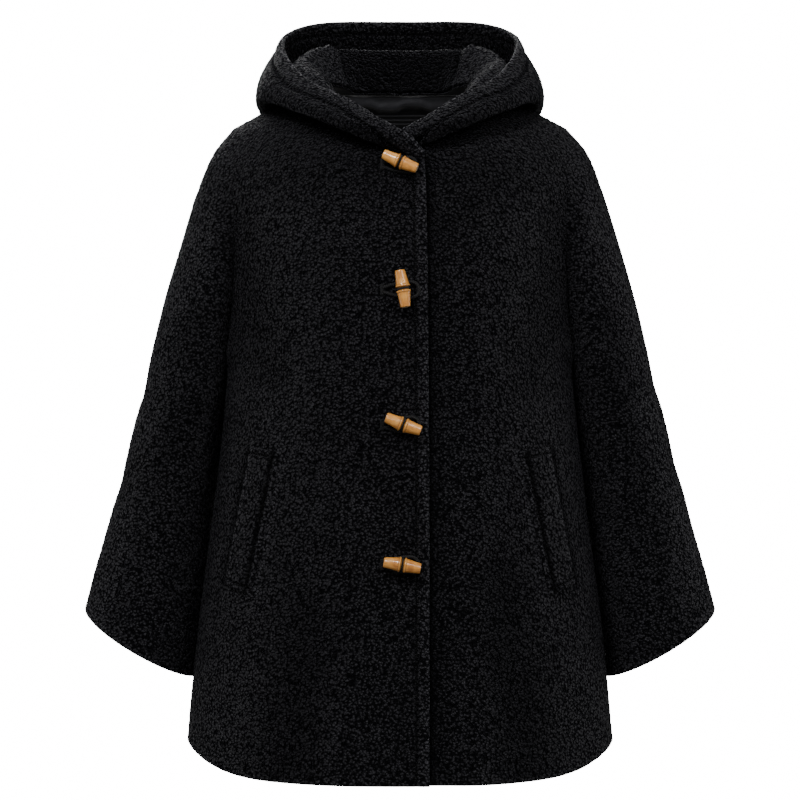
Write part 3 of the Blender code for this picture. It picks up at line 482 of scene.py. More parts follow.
def satin_finish():
    """Black lining satin: a fine slanted weave with a soft broken shine."""
    material, shader, add, links = new_finish("lining_satin", (0.010, 0.010, 0.012), 0.38, 0.5)
    shader.inputs["Sheen Weight"].default_value = 0.15
    place = add("ShaderNodeTexCoord").outputs["Object"]
    stretched = add("ShaderNodeVectorMath", "MULTIPLY", i0=place, i1=(260.0, 260.0, 1900.0)).outputs[0]
    weave = add("ShaderNodeTexNoise", Vector=stretched, Scale=1.0, Detail=2.0)
    rough = add("ShaderNodeMath", "MULTIPLY_ADD", i0=weave.outputs["Fac"], i1=0.30, i2=0.22)
    links.new(rough.outputs[0], shader.inputs["Roughness"])
    tint = add("ShaderNodeValToRGB", Fac=weave.outputs["Fac"])
    tint.color_ramp.elements[0].position, tint.color_ramp.elements[1].position = 0.3, 0.7
    tint.color_ramp.elements[0].color = (0.0065, 0.0065, 0.0078, 1.0)
    tint.color_ramp.elements[1].color = (0.0150, 0.0150, 0.0175, 1.0)
    # the stored shade darkens the colour as painted shade, or below 0 lightens it as a painted highlight
    light = add("ShaderNodeMath", "SUBTRACT", i0=1.0, i1=painted(add, "shade"))
    colour = add("ShaderNodeVectorMath", "SCALE", i0=tint.outputs["Color"], i3=light.outputs[0])
    links.new(colour.outputs[0], shader.inputs["Base Color"])
    shine = add("ShaderNodeMath", "MULTIPLY", i0=light.outputs[0], i1=0.5)
    shine.use_clamp = True
    links.new(shine.outputs[0], shader.inputs["Specular IOR Level"])
    roughened(add, links, shader, weave.outputs["Fac"], 0.25, 0.0003)
    return material


def sewn_on(piece, slot, *nodes):
    """The piece rides on the coat and stands for its nodes; slot is not used."""
    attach(piece, "root")
    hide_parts(*nodes)


wool = wool_finish()
satin = satin_finish()
lower_levels = even_levels(FRONT, 0, FRONT_UNDERARM, LOWER_ROWS)
front_levels = joined(lower_levels, even_levels(FRONT, FRONT_UNDERARM, FRONT_PIT, FRONT_ROWS[0]),
                      even_levels(FRONT, FRONT_PIT, FRONT_TOP, FRONT_ROWS[1]))
back_levels = joined(lower_levels, even_levels(BACK, BACK_UNDERARM, BACK_NECK, BACK_ROWS[0]),
                     even_levels(BACK, BACK_NECK, BACK_TOP, BACK_ROWS[1]))
# the columns run closer together along the topstitched front edge
front_across = np.concatenate([np.linspace(0.0, 0.925, 97)[:-1], np.linspace(0.925, 1.0, 21)])
back_across = np.linspace(0.0, 1.0, 101)
front_half = half_panel(FRONT, front_levels, front_across)
back_half = half_panel(BACK, back_levels, back_across)
FRONT_PIT_ROW = LOWER_ROWS + FRONT_ROWS[0]
BACK_NECK_ROW = LOWER_ROWS + BACK_ROWS[0]
front_armhole = front_half[LOWER_ROWS:, 0][::-1][::2]
back_armhole = back_half[LOWER_ROWS:, 0][::-1]
back_armhole = back_armhole[np.linspace(0, len(back_armhole) - 1, len(front_armhole)).round().astype(int)]
# how far each point is from the topstitched front edge, which ends at the neck, and from the nearest
# free edge; a panel with no stitched edge counts as 1 m away from one
front_stitch = running_length(front_half[:, ::-1], 1)[:, ::-1]
front_stitch[FRONT_PIT_ROW + 1:] += 1.0
front_free = np.minimum(running_length(front_half, 0), front_stitch)
back_free, back_stitch = running_length(back_half, 0), 1.0
# painted shadow on the front below the hood's lower outline
painted_hood_shadow = np.interp(np.clip(front_half[..., 0], 0.0, 1.0), *np.array(UNDER_HOOD).T) - front_half[..., 2]
painted_hood_shadow = 0.80 * np.exp(-(np.clip(painted_hood_shadow, 0.0, 1.0) / 0.019) ** 2)
# painted shade on the tops of the fronts and back, which face the light, and on the insides near the neck
painted_front_top_shade = 0.36 * eased((front_half[..., 2] + 0.14) / 0.08)
painted_back_top_shade = 0.20 * eased((back_half[..., 2] + 0.14) / 0.10)
painted_front_neck_shade = 0.92 * eased((front_half[..., 2] + 0.020) / 0.010)
painted_back_neck_shade = 0.92 * eased((back_half[..., 2] - 0.002) / 0.008)
# painted shadow along the pocket's mouth, painted highlight beside the welt's seam: top and bottom (x, z),
# width, shade
WELT_PAINTED_LINES = [((0.1776, -0.4040), (0.2072, -0.5640), 0.0036, 0.92),
              ((0.1340, -0.4060), (0.1690, -0.5780), 0.0030, -0.70)]
painted_welt_shade = np.zeros(front_half.shape[:2])
for start, end, width, shade in WELT_PAINTED_LINES:
    distance = line_distance(front_half[..., [0, 2]], start, end)
    painted_welt_shade += shade * np.exp(-(distance / width) ** 2) * (front_half[..., 1] < 0.0)
painted_front_shade = np.maximum(painted_front_top_shade, painted_hood_shadow)
front_right, front_area = cloth_wall(
    "front_right_cloth", [(mirrored(front_half, -1), False, front_free, front_stitch,
                           painted_front_shade + painted_welt_shade, painted_front_neck_shade)],
    BODY_CREASES, [wool, satin], facing_past=FACING, seam=front_armhole)
sewn_on(front_right, "cloth", "front_right")
# painted shadow of the over front's edge on the under front, wider and darker lower down
lower_down = eased((-0.15 - front_half[..., 2]) / 0.60)
painted_edge_shadow = (0.75 + 0.2 * lower_down) * np.exp(-np.clip(front_half[..., 0] - 0.034, 0.0, 1.0)
                                             / (0.009 + 0.005 * lower_down))
front_left, _area = cloth_wall(
    "front_left_cloth", [(mirrored(pressed(front_half), 1), True, front_free, front_stitch,
                          np.maximum(painted_edge_shadow, painted_front_shade) + painted_welt_shade, painted_front_neck_shade)],
    BODY_CREASES, [wool, satin], facing_past=FACING, seam=front_armhole)
sewn_on(front_left, "cloth", "front_left")
back, back_area = cloth_wall(
    "back_cloth", [(mirrored(back_half, -1), True, back_free, back_stitch, painted_back_top_shade, painted_back_neck_shade),
                   (mirrored(back_half, 1), False, back_free, back_stitch, painted_back_top_shade, painted_back_neck_shade)],
    BODY_CREASES, [wool, satin], facing_past=FACING, seam=back_armhole)
sewn_on(back, "cloth", "back")

# ------------------------------------------------------------------ the sleeves
# Wide two-piece sleeves of the same wool, set into the armholes and cut to a slanted, turned-up cuff.
# Front and back halves meet along the outer arm and under the arm.
SLEEVE_ROWS = 216
SLEEVES = np.array([
    # outer_x, outer_z, inner_x, inner_z, middle_y, inner_y, half_depth, bow
    (0.2230, -0.048, 0.2074, -0.303, 0.018, 0.030, 0.073, 0.000),
    (0.2436, -0.096, 0.2062, -0.338, 0.022, 0.046, 0.077, 0.000),
    (0.2590, -0.144, 0.2088, -0.376, 0.026, 0.052, 0.077, 0.000),
    (0.2810, -0.216, 0.2168, -0.430, 0.032, 0.056, 0.076, 0.002),
    (0.3000, -0.288, 0.2225, -0.480, 0.037, 0.060, 0.074, 0.003),
    (0.3180, -0.360, 0.2275, -0.530, 0.041, 0.063, 0.072, 0.005),
    (0.3370, -0.432, 0.2330, -0.580, 0.044, 0.065, 0.071, 0.007),
    (0.3560, -0.504, 0.2390, -0.630, 0.046, 0.067, 0.070, 0.009),
    (0.3835, -0.602, 0.2450, -0.682, 0.048, 0.069, 0.069, 0.012)])
SLEEVE_CREASES = [
    (-1, (0.245, -0.250), (0.285, -0.330), 0.020, 0.0028),
    (-1, (0.240, -0.330), (0.300, -0.430), 0.024, 0.0030),
    (-1, (0.255, -0.470), (0.330, -0.520), 0.026, 0.0022),
    (-1, (-0.245, -0.260), (-0.290, -0.350), 0.020, 0.0028),
    (-1, (-0.245, -0.360), (-0.310, -0.450), 0.024, 0.0028),
    (-1, (0.2035, -0.100), (0.2085, -0.310), 0.011, 0.0016),
    (-1, (-0.2035, -0.100), (-0.2085, -0.310), 0.011, 0.0016),
    (1, (0.235, -0.260), (0.300, -0.330), 0.022, 0.0034),
    (1, (0.240, -0.350), (0.320, -0.430), 0.026, 0.0036),
    (1, (-0.235, -0.270), (-0.300, -0.340), 0.022, 0.0034),
    (1, (-0.240, -0.370), (-0.325, -0.450), 0.026, 0.0036)]


def sleeve_half(edge, facing):
    """Rings from the armhole to the cuff.  Past the armhole a ring is half an oval: from the outer point
    inwards as 1 - cos(turn), and half_depth * sin(turn) to the front (-1) or the back (1)."""
    length = running_length(edge, 0)
    turn = np.pi * length / length[-1]
    inward = (1 - np.cos(turn)) / 2
    outer_x, outer_z, inner_x, inner_z, middle_y, inner_y, half_depth, bow = SLEEVES.T[:, :, None]
    x = outer_x + (inner_x - outer_x) * inward
    y = middle_y + (inner_y - middle_y) * inward + facing * half_depth * np.sin(turn)
    z = outer_z + (inner_z - outer_z) * inward - bow * np.sin(turn)
    rings = np.concatenate([edge[None], np.stack([x, y, z], axis=-1)])
    knots = -np.concatenate([[FRONT[-1, 4]], SLEEVES[:, 1]])
    return cubic(knots, rings, np.linspace(knots[0], knots[-1], SLEEVE_ROWS + 1), round_slopes)


sleeve_halves = {"front": sleeve_half(front_armhole, -1), "back": sleeve_half(back_armhole, 1)}
for arm, side in (("right", -1), ("left", 1)):
    for facing, half in sleeve_halves.items():
        cuff = running_length(half[::-1], 0)[::-1]
        turned = (facing == "front") == (side == -1)
        # painted highlight over most of the sleeve and painted shade towards its top
        sleeve_shade = -0.16 + 0.36 * eased((half[..., 2] + 0.16) / 0.10)
        sleeve, sleeve_area = cloth_wall(
            f"sleeve_{arm}_{facing}_cloth", [(mirrored(half, side), turned, cuff, 1.0, sleeve_shade, 0.0)],
            SLEEVE_CREASES, [wool, satin], facing_past=FACING,
            seam=front_armhole if facing == "front" else back_armhole)
        sewn_on(sleeve, "cloth", f"sleeve_{arm}_{facing}")

# ------------------------------------------------------------------ the hood
# Two shaped halves of the wool, seamed down the middle and thrown back, with a topstitched rim.
# The neck seam holds them; the halves cross at the front with the right one on top.
HOOD_ROWS = 180
FOLD_WIDTH, BAG_FOLD_WIDTH = 0.010, 0.024
HOOD = [
    # along the neck seam; roll, lower layer, outer fold, outer face, rim
    (0.00, (-0.0285, -0.1144, -0.0647), (-0.0285, -0.1150, -0.0631), (-0.0285, -0.1155, -0.0615),
     (-0.0285, -0.1160, -0.0599), (-0.0285, -0.1165, -0.0585)),
    (0.09, (0.0020, -0.1150, -0.0600), (0.0025, -0.1185, -0.0560), (0.0020, -0.1205, -0.0515),
     (-0.0030, -0.1195, -0.0455), (-0.0100, -0.1165, -0.0395)),
    (0.20, (0.0360, -0.1090, -0.0430), (0.0390, -0.1160, -0.0455), (0.0440, -0.1260, -0.0400),
     (0.0400, -0.1245, -0.0280), (0.0290, -0.1070, -0.0165)),
    (0.33, (0.0660, -0.0830, -0.0080), (0.0740, -0.0930, -0.0170), (0.0830, -0.1080, -0.0260),
     (0.0820, -0.1090, -0.0105), (0.0640, -0.0820, 0.0070)),
    (0.47, (0.0980, -0.0350, 0.0360), (0.1140, -0.0520, 0.0120), (0.1220, -0.0760, -0.0080),
     (0.1260, -0.0730, 0.0100), (0.1100, -0.0440, 0.0330)),
    (0.60, (0.116, 0.0200, 0.0600), (0.143, -0.005, 0.0300), (0.165, -0.0150, 0.0085),
     (0.162, 0.0000, 0.0420), (0.138, 0.0200, 0.0710)),
    (0.71, (0.100, 0.0600, 0.0790), (0.128, 0.078, 0.0210), (0.159, 0.0970, -0.0120),
     (0.166, 0.1000, 0.0450), (0.142, 0.1000, 0.1030)),
    (0.84, (0.060, 0.0800, 0.0780), (0.074, 0.1010, -0.0040), (0.095, 0.1400, -0.1000),
     (0.114, 0.1840, 0.0180), (0.098, 0.1500, 0.1240)),
    (1.00, (0.000, 0.0840, 0.0765), (0.000, 0.1080, -0.0120), (0.000, 0.1570, -0.1430),
     (0.000, 0.2150, 0.0020), (0.000, 0.1730, 0.1285))]
HOOD_STATIONS = (0.0, 0.17, 0.39, 0.57, 0.63, 0.82, 1.0)
WING = 0.770              # the neck stand folds sharply here, from the back panel to the wing


def hood_half():
    """Rows along the neck seam from the front end to the middle of the back, columns out to the rim.
    Each row is a cubic through neck, roll, lower layer, both sides of the fold, outer face and rim."""
    neck = np.concatenate([front_half[FRONT_PIT_ROW:, -1], back_half[BACK_NECK_ROW:, -1][::-1][1:]])
    length = running_length(neck, 0)
    along = np.linspace(0.0, 1.0, HOOD_ROWS + 1)
    neck = np.stack([np.interp(along, length / length[-1], neck[:, axis]) for axis in range(3)], axis=-1)
    lines = cubic([row[0] for row in HOOD], np.array([row[1:] for row in HOOD]), along, round_slopes)
    roll, lower, fold, outer, rim = lines.transpose(1, 0, 2)
    across = outer - lower
    depth = np.linalg.norm(across, axis=1)[:, None]
    width = FOLD_WIDTH + (BAG_FOLD_WIDTH - FOLD_WIDTH) * eased((along - 0.5) / 0.4)[:, None]
    toe = across / depth * width / 2 * np.clip(depth / 0.020, 0.0, 1.0) ** 2
    net = np.stack([neck, roll, lower, fold - toe, fold + toe, outer, rim], axis=1)
    grid = cubic(HOOD_STATIONS, net.transpose(1, 0, 2), HOOD_OUT, round_slopes).transpose(1, 0, 2)
    index = np.arange(grid.shape[0] * grid.shape[1]).reshape(grid.shape[:2])
    normals = point_normals(grid.reshape(-1, 3), quads(index)).reshape(grid.shape)
    raised = 0.0030 * np.exp(-((along - WING + 0.018) / 0.014) ** 2)
    sunk = 0.0035 * np.exp(-((along - WING - 0.016) / 0.014) ** 2)
    stand = eased(HOOD_OUT / 0.05) * (1.0 - eased((HOOD_OUT - 0.15) / 0.08))
    return grid + normals * ((raised - sunk)[:, None] * stand)[..., None]


def square_to_rim(grid):
    """Distance of each point from the rim, measured square to it: the length along the row times the sine
    of the angle between the row's last stretch and the rim."""
    length = running_length(grid[:, ::-1], 1)[:, ::-1]
    row = grid[:, -1] - grid[:, -14]
    rim = np.gradient(grid[:, -1], axis=0)
    lengths = np.linalg.norm(row, axis=1) * np.linalg.norm(rim, axis=1)
    sine = np.linalg.norm(np.cross(row, rim), axis=1) / lengths
    return length * np.clip(sine, 0.3, 1.0)[:, None]


HOOD_OUT = np.concatenate([np.linspace(0.0, 0.90, 121)[:-1], np.linspace(0.90, 1.0, 25)])
hood = hood_half()
hood_along = np.linspace(0.0, 1.0, len(hood))[:, None]
# painted shade on the back panel of the neck stand, inside the hood's bag and just behind the rim; painted
# highlight on the wings and along the rim
panel = eased((hood_along - WING) / 0.020) * (1.0 - eased((HOOD_OUT - 0.135) / 0.04))
from_rim = square_to_rim(hood)
inside_bag = eased((from_rim - 0.0155) / 0.010) * eased((HOOD_OUT - 0.30) / 0.05)
wing = (1.0 - panel) * (1.0 - eased((HOOD_OUT - 0.14) / 0.06)) * eased((hood_along - 0.60) / 0.12)
hood_shade = 0.84 * panel - 0.60 * wing + (0.78 - 0.45 * eased((hood_along - 0.78) / 0.14)) * inside_bag
painted_rim_highlight = -1.5 * (1.0 - 0.8 * eased((hood_along - 0.55) / 0.2)) * np.exp(-(from_rim / 0.0032) ** 2)
behind_rim = 0.90 * eased((from_rim - 0.003) / 0.004) * (1.0 - eased((from_rim - 0.014) / 0.016))
behind_rim *= eased((hood_along - 0.30) / 0.15) * (1.0 - eased((hood_along - 0.70) / 0.06))
under_start = np.argmax(hood[:, 0, 0] > -0.004) // 2 * 2
under = hood[under_start:]
rise = eased(np.linspace(0.0, 2.0, under.shape[1]))[None, :, None]
under = pressed(under)
under = under + (pressed(under, 0.006, 0.022, 0.065) - under) * rise
for name, grid, side, turned, first in (("hood_right", hood, -1, False, 0),
                                        ("hood_left", under, 1, True, under_start)):
    rim, bright, dark = from_rim[first:], painted_rim_highlight[first:], np.maximum(hood_shade, behind_rim)[first:]
    stitched = rim * (0.60 + 0.40 * eased((hood_along[first:] - 0.50) / 0.25))
    # painted shade in the stitched groove, and a painted shade of 0.50 over the whole outer face
    groove = 0.45 * np.exp(-((stitched - STITCH_LINE) / STITCH_WIDTH) ** 2)
    half, hood_area = cloth_wall(
        f"{name}_cloth", [(mirrored(grid, side), turned, rim, stitched, 0.50 + groove + 1.2 * bright,
                           dark + groove + 0.3 * bright)],
        [], [wool], step=1, curled_inside=True, rim_extra=0.0022)
    sewn_on(half, "cloth", name)

# ------------------------------------------------------------------ the neck lining
# Black satin facing inside the back neck, sewn flat to the lining below it with three cross seams.
# It lies inside the back and eases into soft folds across.
LINING_TOP, LINING_BOTTOM, LINING_HALF_WIDTH = 0.0262, -0.085, 0.078
LINING_ROWS, LINING_COLUMNS = 161, 101
LINING_SEAT = 0.0012
LINING_WALL = 0.0010
LINING_SEAMS = (0.0038, -0.0014, -0.0062)      # heights of the cross seams


def sheet_faces(index, flipped=False):
    """Faces of a closed thin sheet: a grid, the same grid behind it and a strip round the border."""
    count = index.size
    border = np.concatenate([index[0], index[1:, -1], index[-1, -2::-1], index[-2::-1, 0]])
    strip = np.stack([border[1:], border[:-1], border[:-1] + count, border[1:] + count], axis=-1)
    groups = [quads(index), quads(index)[:, ::-1] + count, strip]
    return [group[:, ::-1] for group in groups] if flipped else groups


def lining_wall():
    """The back's own surface between two straight lines across, moved in past the cloth.  A soft fold
    bulges under the top as a bell whose height wavers, and each seam is a thin ridge."""
    heights = np.linspace(LINING_BOTTOM, LINING_TOP, LINING_ROWS)
    wide = np.linspace(-LINING_HALF_WIDTH, LINING_HALF_WIDTH, LINING_COLUMNS)
    level = np.linspace(BACK_UNDERARM + 1.0, BACK_TOP, 300)
    columns = section_at(BACK, level)
    share = wide[:, None] / columns[2]
    turn = np.arcsin(share * np.sin(np.radians(columns[5])))
    z = columns[1] + (columns[4] - columns[1]) * np.abs(share) ** columns[6]
    y = columns[0] + (columns[3] - columns[0]) * (1 - np.cos(turn)) / (1 - np.cos(np.radians(columns[5])))
    depth = np.stack([np.interp(heights, z[column], y[column]) for column in range(len(wide))], axis=1)
    grid = np.stack([wide[None, :] + 0.0 * depth, depth, heights[:, None] + 0.0 * depth], axis=-1)[:, ::-1]
    index = np.arange(grid.shape[0] * grid.shape[1]).reshape(grid.shape[:2])
    points = grid.reshape(-1, 3)
    normals = point_normals(points, quads(index))
    across = points[:, 0] / 0.011
    waver = 0.0022 * np.sin(across + 0.7 * np.sin(2.3 * across)) + 0.0012 * uneven(points, 0.012)
    below = points[:, 2] - 0.0155 - waver
    bulge = np.exp(-(below / np.where(below > 0, 0.0075, 0.0040)) ** 2)
    seams = sum(np.exp(-((points[:, 2] - height) / 0.0006) ** 2) for height in LINING_SEAMS)
    outer = points - normals * (CLOTH + LINING_SEAT - 0.0004)
    inner = outer - normals * (LINING_WALL + 0.0046 * bulge + 0.0006 * seams)[:, None]
    # painted shade below the fold and along the top edge, painted highlights on the fold's upper side and
    # on the seam ridges
    shade = 0.8 * eased((0.0125 + waver - points[:, 2]) / 0.0045)
    shade += 0.9 * eased((points[:, 2] - LINING_TOP + 0.0016) / 0.0010)
    shade -= 1.10 * np.exp(-((below - 0.0045) / 0.0036) ** 2) + 2.2 * seams
    values = {"shade": np.concatenate([shade, shade])}
    return np.concatenate([outer, inner]), sheet_faces(index), values


lining_points, lining_faces, lining_values = lining_wall()
neck_lining = add_piece("neck_lining_satin", lining_points, lining_faces, [satin], values=lining_values)
sewn_on(neck_lining, "lining", "neck_lining")

# ------------------------------------------------------------------ the pocket welts
# A slanted welt of the wool on each front: folded double, sewn down along its inner edge and across both
# ends, and free along the outer edge, where the hand goes in.
WELT_LENGTH, WELT_WIDTH = 0.165, 0.031
WELT_THICK, WELT_SEAT = 0.0046, 0.0008
WELT_BAND = 0.0055        # the pressed seam along the inner edge
WELT_MOUTH = 0.0026       # a strip beside the free edge, darkened as the painted shadow of the pocket's mouth
WELT_CORNERS = np.array([[(0.1758, -0.4025), (0.1385, -0.4085)], [(0.2055, -0.5625), (0.1738, -0.5765)]])


def front_surface(x, z):
    """Point of the over front at x and z below the neck, and its unit normal from small steps."""
    table = FRONT[:FRONT_PIT + 1]

    def depth(at_x, at_z):
        level = np.interp(at_z, table[:, 1], np.arange(len(table)))
        centre_y, _z, side_x, side_y, _side_z, angle, _drop, _neck = section_at(table, level)
        angle = np.radians(angle)
        share = np.abs(at_x) / side_x * np.sin(angle)
        return centre_y + (side_y - centre_y) * (1 - np.sqrt(1 - share ** 2)) / (1 - np.cos(angle))

    step = 0.002
    slope_x = (depth(x + step, z) - depth(x - step, z)) / (2 * step)
    slope_z = (depth(x, z + step) - depth(x, z - step)) / (2 * step)
    normal = np.stack([slope_x, -np.ones_like(x), slope_z], axis=-1)
    return np.stack([x, depth(x, z), z], axis=-1), normal / np.linalg.norm(normal, axis=-1)[:, None]


def welt_wall(name, side):
    """A parallelogram on the front between four corners.  Its height falls as a round at every edge, and
    grooves run along the inner seam, with the pressed seam as a lower band past it, and across each end."""
    down = np.linspace(0.0, 1.0, 141)[:, None]
    across = np.linspace(0.0, 1.0, 41)[None, :]
    top, bottom = (corners[0] * (1 - across[..., None]) + corners[1] * across[..., None]
                   for corners in WELT_CORNERS)
    flat = top * (1 - down[..., None]) + bottom * down[..., None]
    points, normals = front_surface(flat[..., 0].reshape(-1), flat[..., 1].reshape(-1))
    length = (WELT_LENGTH * down + 0 * across).reshape(-1)
    width = (WELT_WIDTH * across - WELT_MOUTH * (1 - across) + 0 * down).reshape(-1)
    from_end = np.minimum(length, WELT_LENGTH - length)
    edge = np.minimum(from_end, np.minimum(np.clip(width, 0, 1), WELT_WIDTH - width))
    fall = EDGE_ROUND * (1 - np.sqrt(1 - np.clip(1 - edge / EDGE_ROUND, 0.0, 0.97) ** 2))
    band = eased((width - WELT_WIDTH + WELT_BAND) / 0.002)
    inner_seam = np.exp(-((WELT_WIDTH - width - WELT_BAND) / 0.0016) ** 2)
    end_seam = np.exp(-((from_end - 0.0070) / 0.0013) ** 2)
    groove = np.maximum(inner_seam, end_seam)
    pile = CURL_HEIGHT * 0.9 * (curls(points + 3.0, CURL) - 0.45) * (1.0 - 0.7 * band)
    swell = 0.0014 * np.sin(np.pi * np.clip(width / (WELT_WIDTH - WELT_BAND), 0, 1)) * (1.0 - band)
    height = (WELT_SEAT + WELT_THICK * (1.0 - 0.45 * band) - fall - 0.0026 * groove
              + pile * (edge > 0.001) + swell)
    height = np.where(width > 0, height, WELT_SEAT + 0.0020)
    # painted highlights along the free edge and on the band by the seam, painted shade in the grooves and a
    # painted shadow on the mouth strip
    lit = 0.80 * np.exp(-((width - 0.0026) / 0.0026) ** 2) + 0.60 * band
    shade = np.where(width > 0, 0.80 * groove - lit * (1.0 - groove), 0.9)
    rest = points + normals * WELT_SEAT
    index = np.arange(len(points)).reshape(flat.shape[:2])
    every = np.concatenate([points + normals * height[:, None], rest])
    plain = np.zeros(len(points))
    return add_piece(name, mirrored(every, side), sheet_faces(index, side == 1), [wool],
                     values={"stitch": np.concatenate([groove, plain]),
                             "shade": np.concatenate([shade, plain])})


for pocket, side in (("right", -1), ("left", 1)):
    welt = welt_wall(f"welt_{pocket}_cloth", side)
    sewn_on(welt, "cloth", f"welt_{pocket}")

# ------------------------------------------------------------------ the toggles
# Lengths of bamboo cut either side of a node, polished and lacquered, with the cut ends left showing.
# Each hangs on its tie and is pushed through a cord loop; the second one stands nearly upright.
HALF_LENGTH = 0.0215      # from the node to a cut end
END_RADIUS, RIM_RADIUS, WAIST_RADIUS = 0.0058, 0.0087, 0.0066
CUT_RADIUS = END_RADIUS - 0.0009
CORD_RADIUS = 0.0017
SEAT_GAP = 0.0003
TOGGLE_RISE = SEAT_GAP * 3 + 2 * CORD_RADIUS + RIM_RADIUS      # its middle above the coat
TOGGLES = [
    # x, z, tilt in degrees
    (0.0000, -0.0755, -25.0),
    (0.0035, -0.2210, -81.0),
    (0.0035, -0.3765, -21.0),
    (0.0025, -0.5370, -10.0)]
BAMBOO_PROFILE = np.array([
    # distance from the node, radius
    (0.0000, WAIST_RADIUS - 0.0002), (0.0014, WAIST_RADIUS), (0.0020, RIM_RADIUS - 0.0012),
    (0.0027, RIM_RADIUS), (0.0036, RIM_RADIUS - 0.0001), (0.0050, RIM_RADIUS - 0.0008),
    (0.0085, RIM_RADIUS - 0.0014), (0.0140, END_RADIUS + 0.0008), (0.0190, END_RADIUS + 0.0003),
    (0.0207, END_RADIUS), (0.0213, END_RADIUS - 0.0003), (HALF_LENGTH, CUT_RADIUS)])


def bamboo_finish():
    """Warm tan cane: long fine fibres, browner at the node and in patches, pale pith at the cut ends,
    under a clear lacquer.  UV runs round (u) and along (v)."""
    material, shader, add, links = new_finish("lacquered_bamboo", (0.60, 0.34, 0.13), 0.28, 0.55)
    shader.inputs["Coat Weight"].default_value = 0.9
    shader.inputs["Coat Roughness"].default_value = 0.13
    uv = add("ShaderNodeUVMap").outputs[0]
    long = add("ShaderNodeVectorMath", "MULTIPLY", i0=uv, i1=(46.0, 3.5, 1.0)).outputs[0]
    fibre = add("ShaderNodeTexNoise", Vector=long, Scale=1.0, Detail=4.0, Roughness=0.65)
    blotch = add("ShaderNodeVectorMath", "MULTIPLY", i0=uv, i1=(3.0, 5.0, 1.0)).outputs[0]
    blotch = add("ShaderNodeTexNoise", Vector=blotch, Scale=1.0, Detail=2.0)
    mixed = add("ShaderNodeMath", "MULTIPLY_ADD", i0=fibre.outputs["Fac"], i1=0.55, i2=-0.02)
    mixed = add("ShaderNodeMath", "MULTIPLY_ADD", i0=blotch.outputs["Fac"], i1=0.50, i2=mixed.outputs[0])
    cane = add("ShaderNodeValToRGB", Fac=mixed.outputs[0])
    ramp = cane.color_ramp
    ramp.elements[0].position, ramp.elements[0].color = 0.30, (0.36, 0.085, 0.010, 1.0)
    ramp.elements[1].position, ramp.elements[1].color = 0.76, (1.0, 0.58, 0.165, 1.0)
    ramp.elements.new(0.52).color = (0.86, 0.36, 0.060, 1.0)
    colour = cane.outputs["Color"]
    for place, stain in (("node", (0.085, 0.032, 0.010, 1.0)), ("pith", (0.78, 0.60, 0.36, 1.0))):
        mix = add("ShaderNodeMix")
        mix.data_type = "RGBA"
        links.new(painted(add, place), mix.inputs[0])
        links.new(colour, mix.inputs[6])
        mix.inputs[7].default_value = stain
        colour = mix.outputs[2]
    links.new(colour, shader.inputs["Base Color"])
    rough = add("ShaderNodeMath", "MULTIPLY_ADD", i0=fibre.outputs["Fac"], i1=0.20, i2=0.20)
    links.new(rough.outputs[0], shader.inputs["Roughness"])
    roughened(add, links, shader, fibre.outputs["Fac"], 0.35, 0.0003)
    return material


def toggle_frame(x, z, tilt):
    """Centre of a toggle that rests on its loop, its direction, and the coat's normal under it."""
    seat, normal = front_surface(np.array([x]), np.array([z]))
    normal = normal[0]
    along = np.array([np.cos(np.radians(tilt)), 0.0, np.sin(np.radians(tilt))])
    along -= normal * (along @ normal)
    return seat[0] + normal * TOGGLE_RISE, along / np.linalg.norm(along), normal


def set_uv(piece, u, v):
    """UV map from a value of u and v at each point."""
    corners = np.empty(len(piece.data.loops), np.int32)
    piece.data.loops.foreach_get("vertex_index", corners)
    layer = piece.data.uv_layers.new(name="UVMap")
    layer.data.foreach_set("uv", np.stack([u[corners], v[corners]], axis=-1).astype(np.float32).ravel())


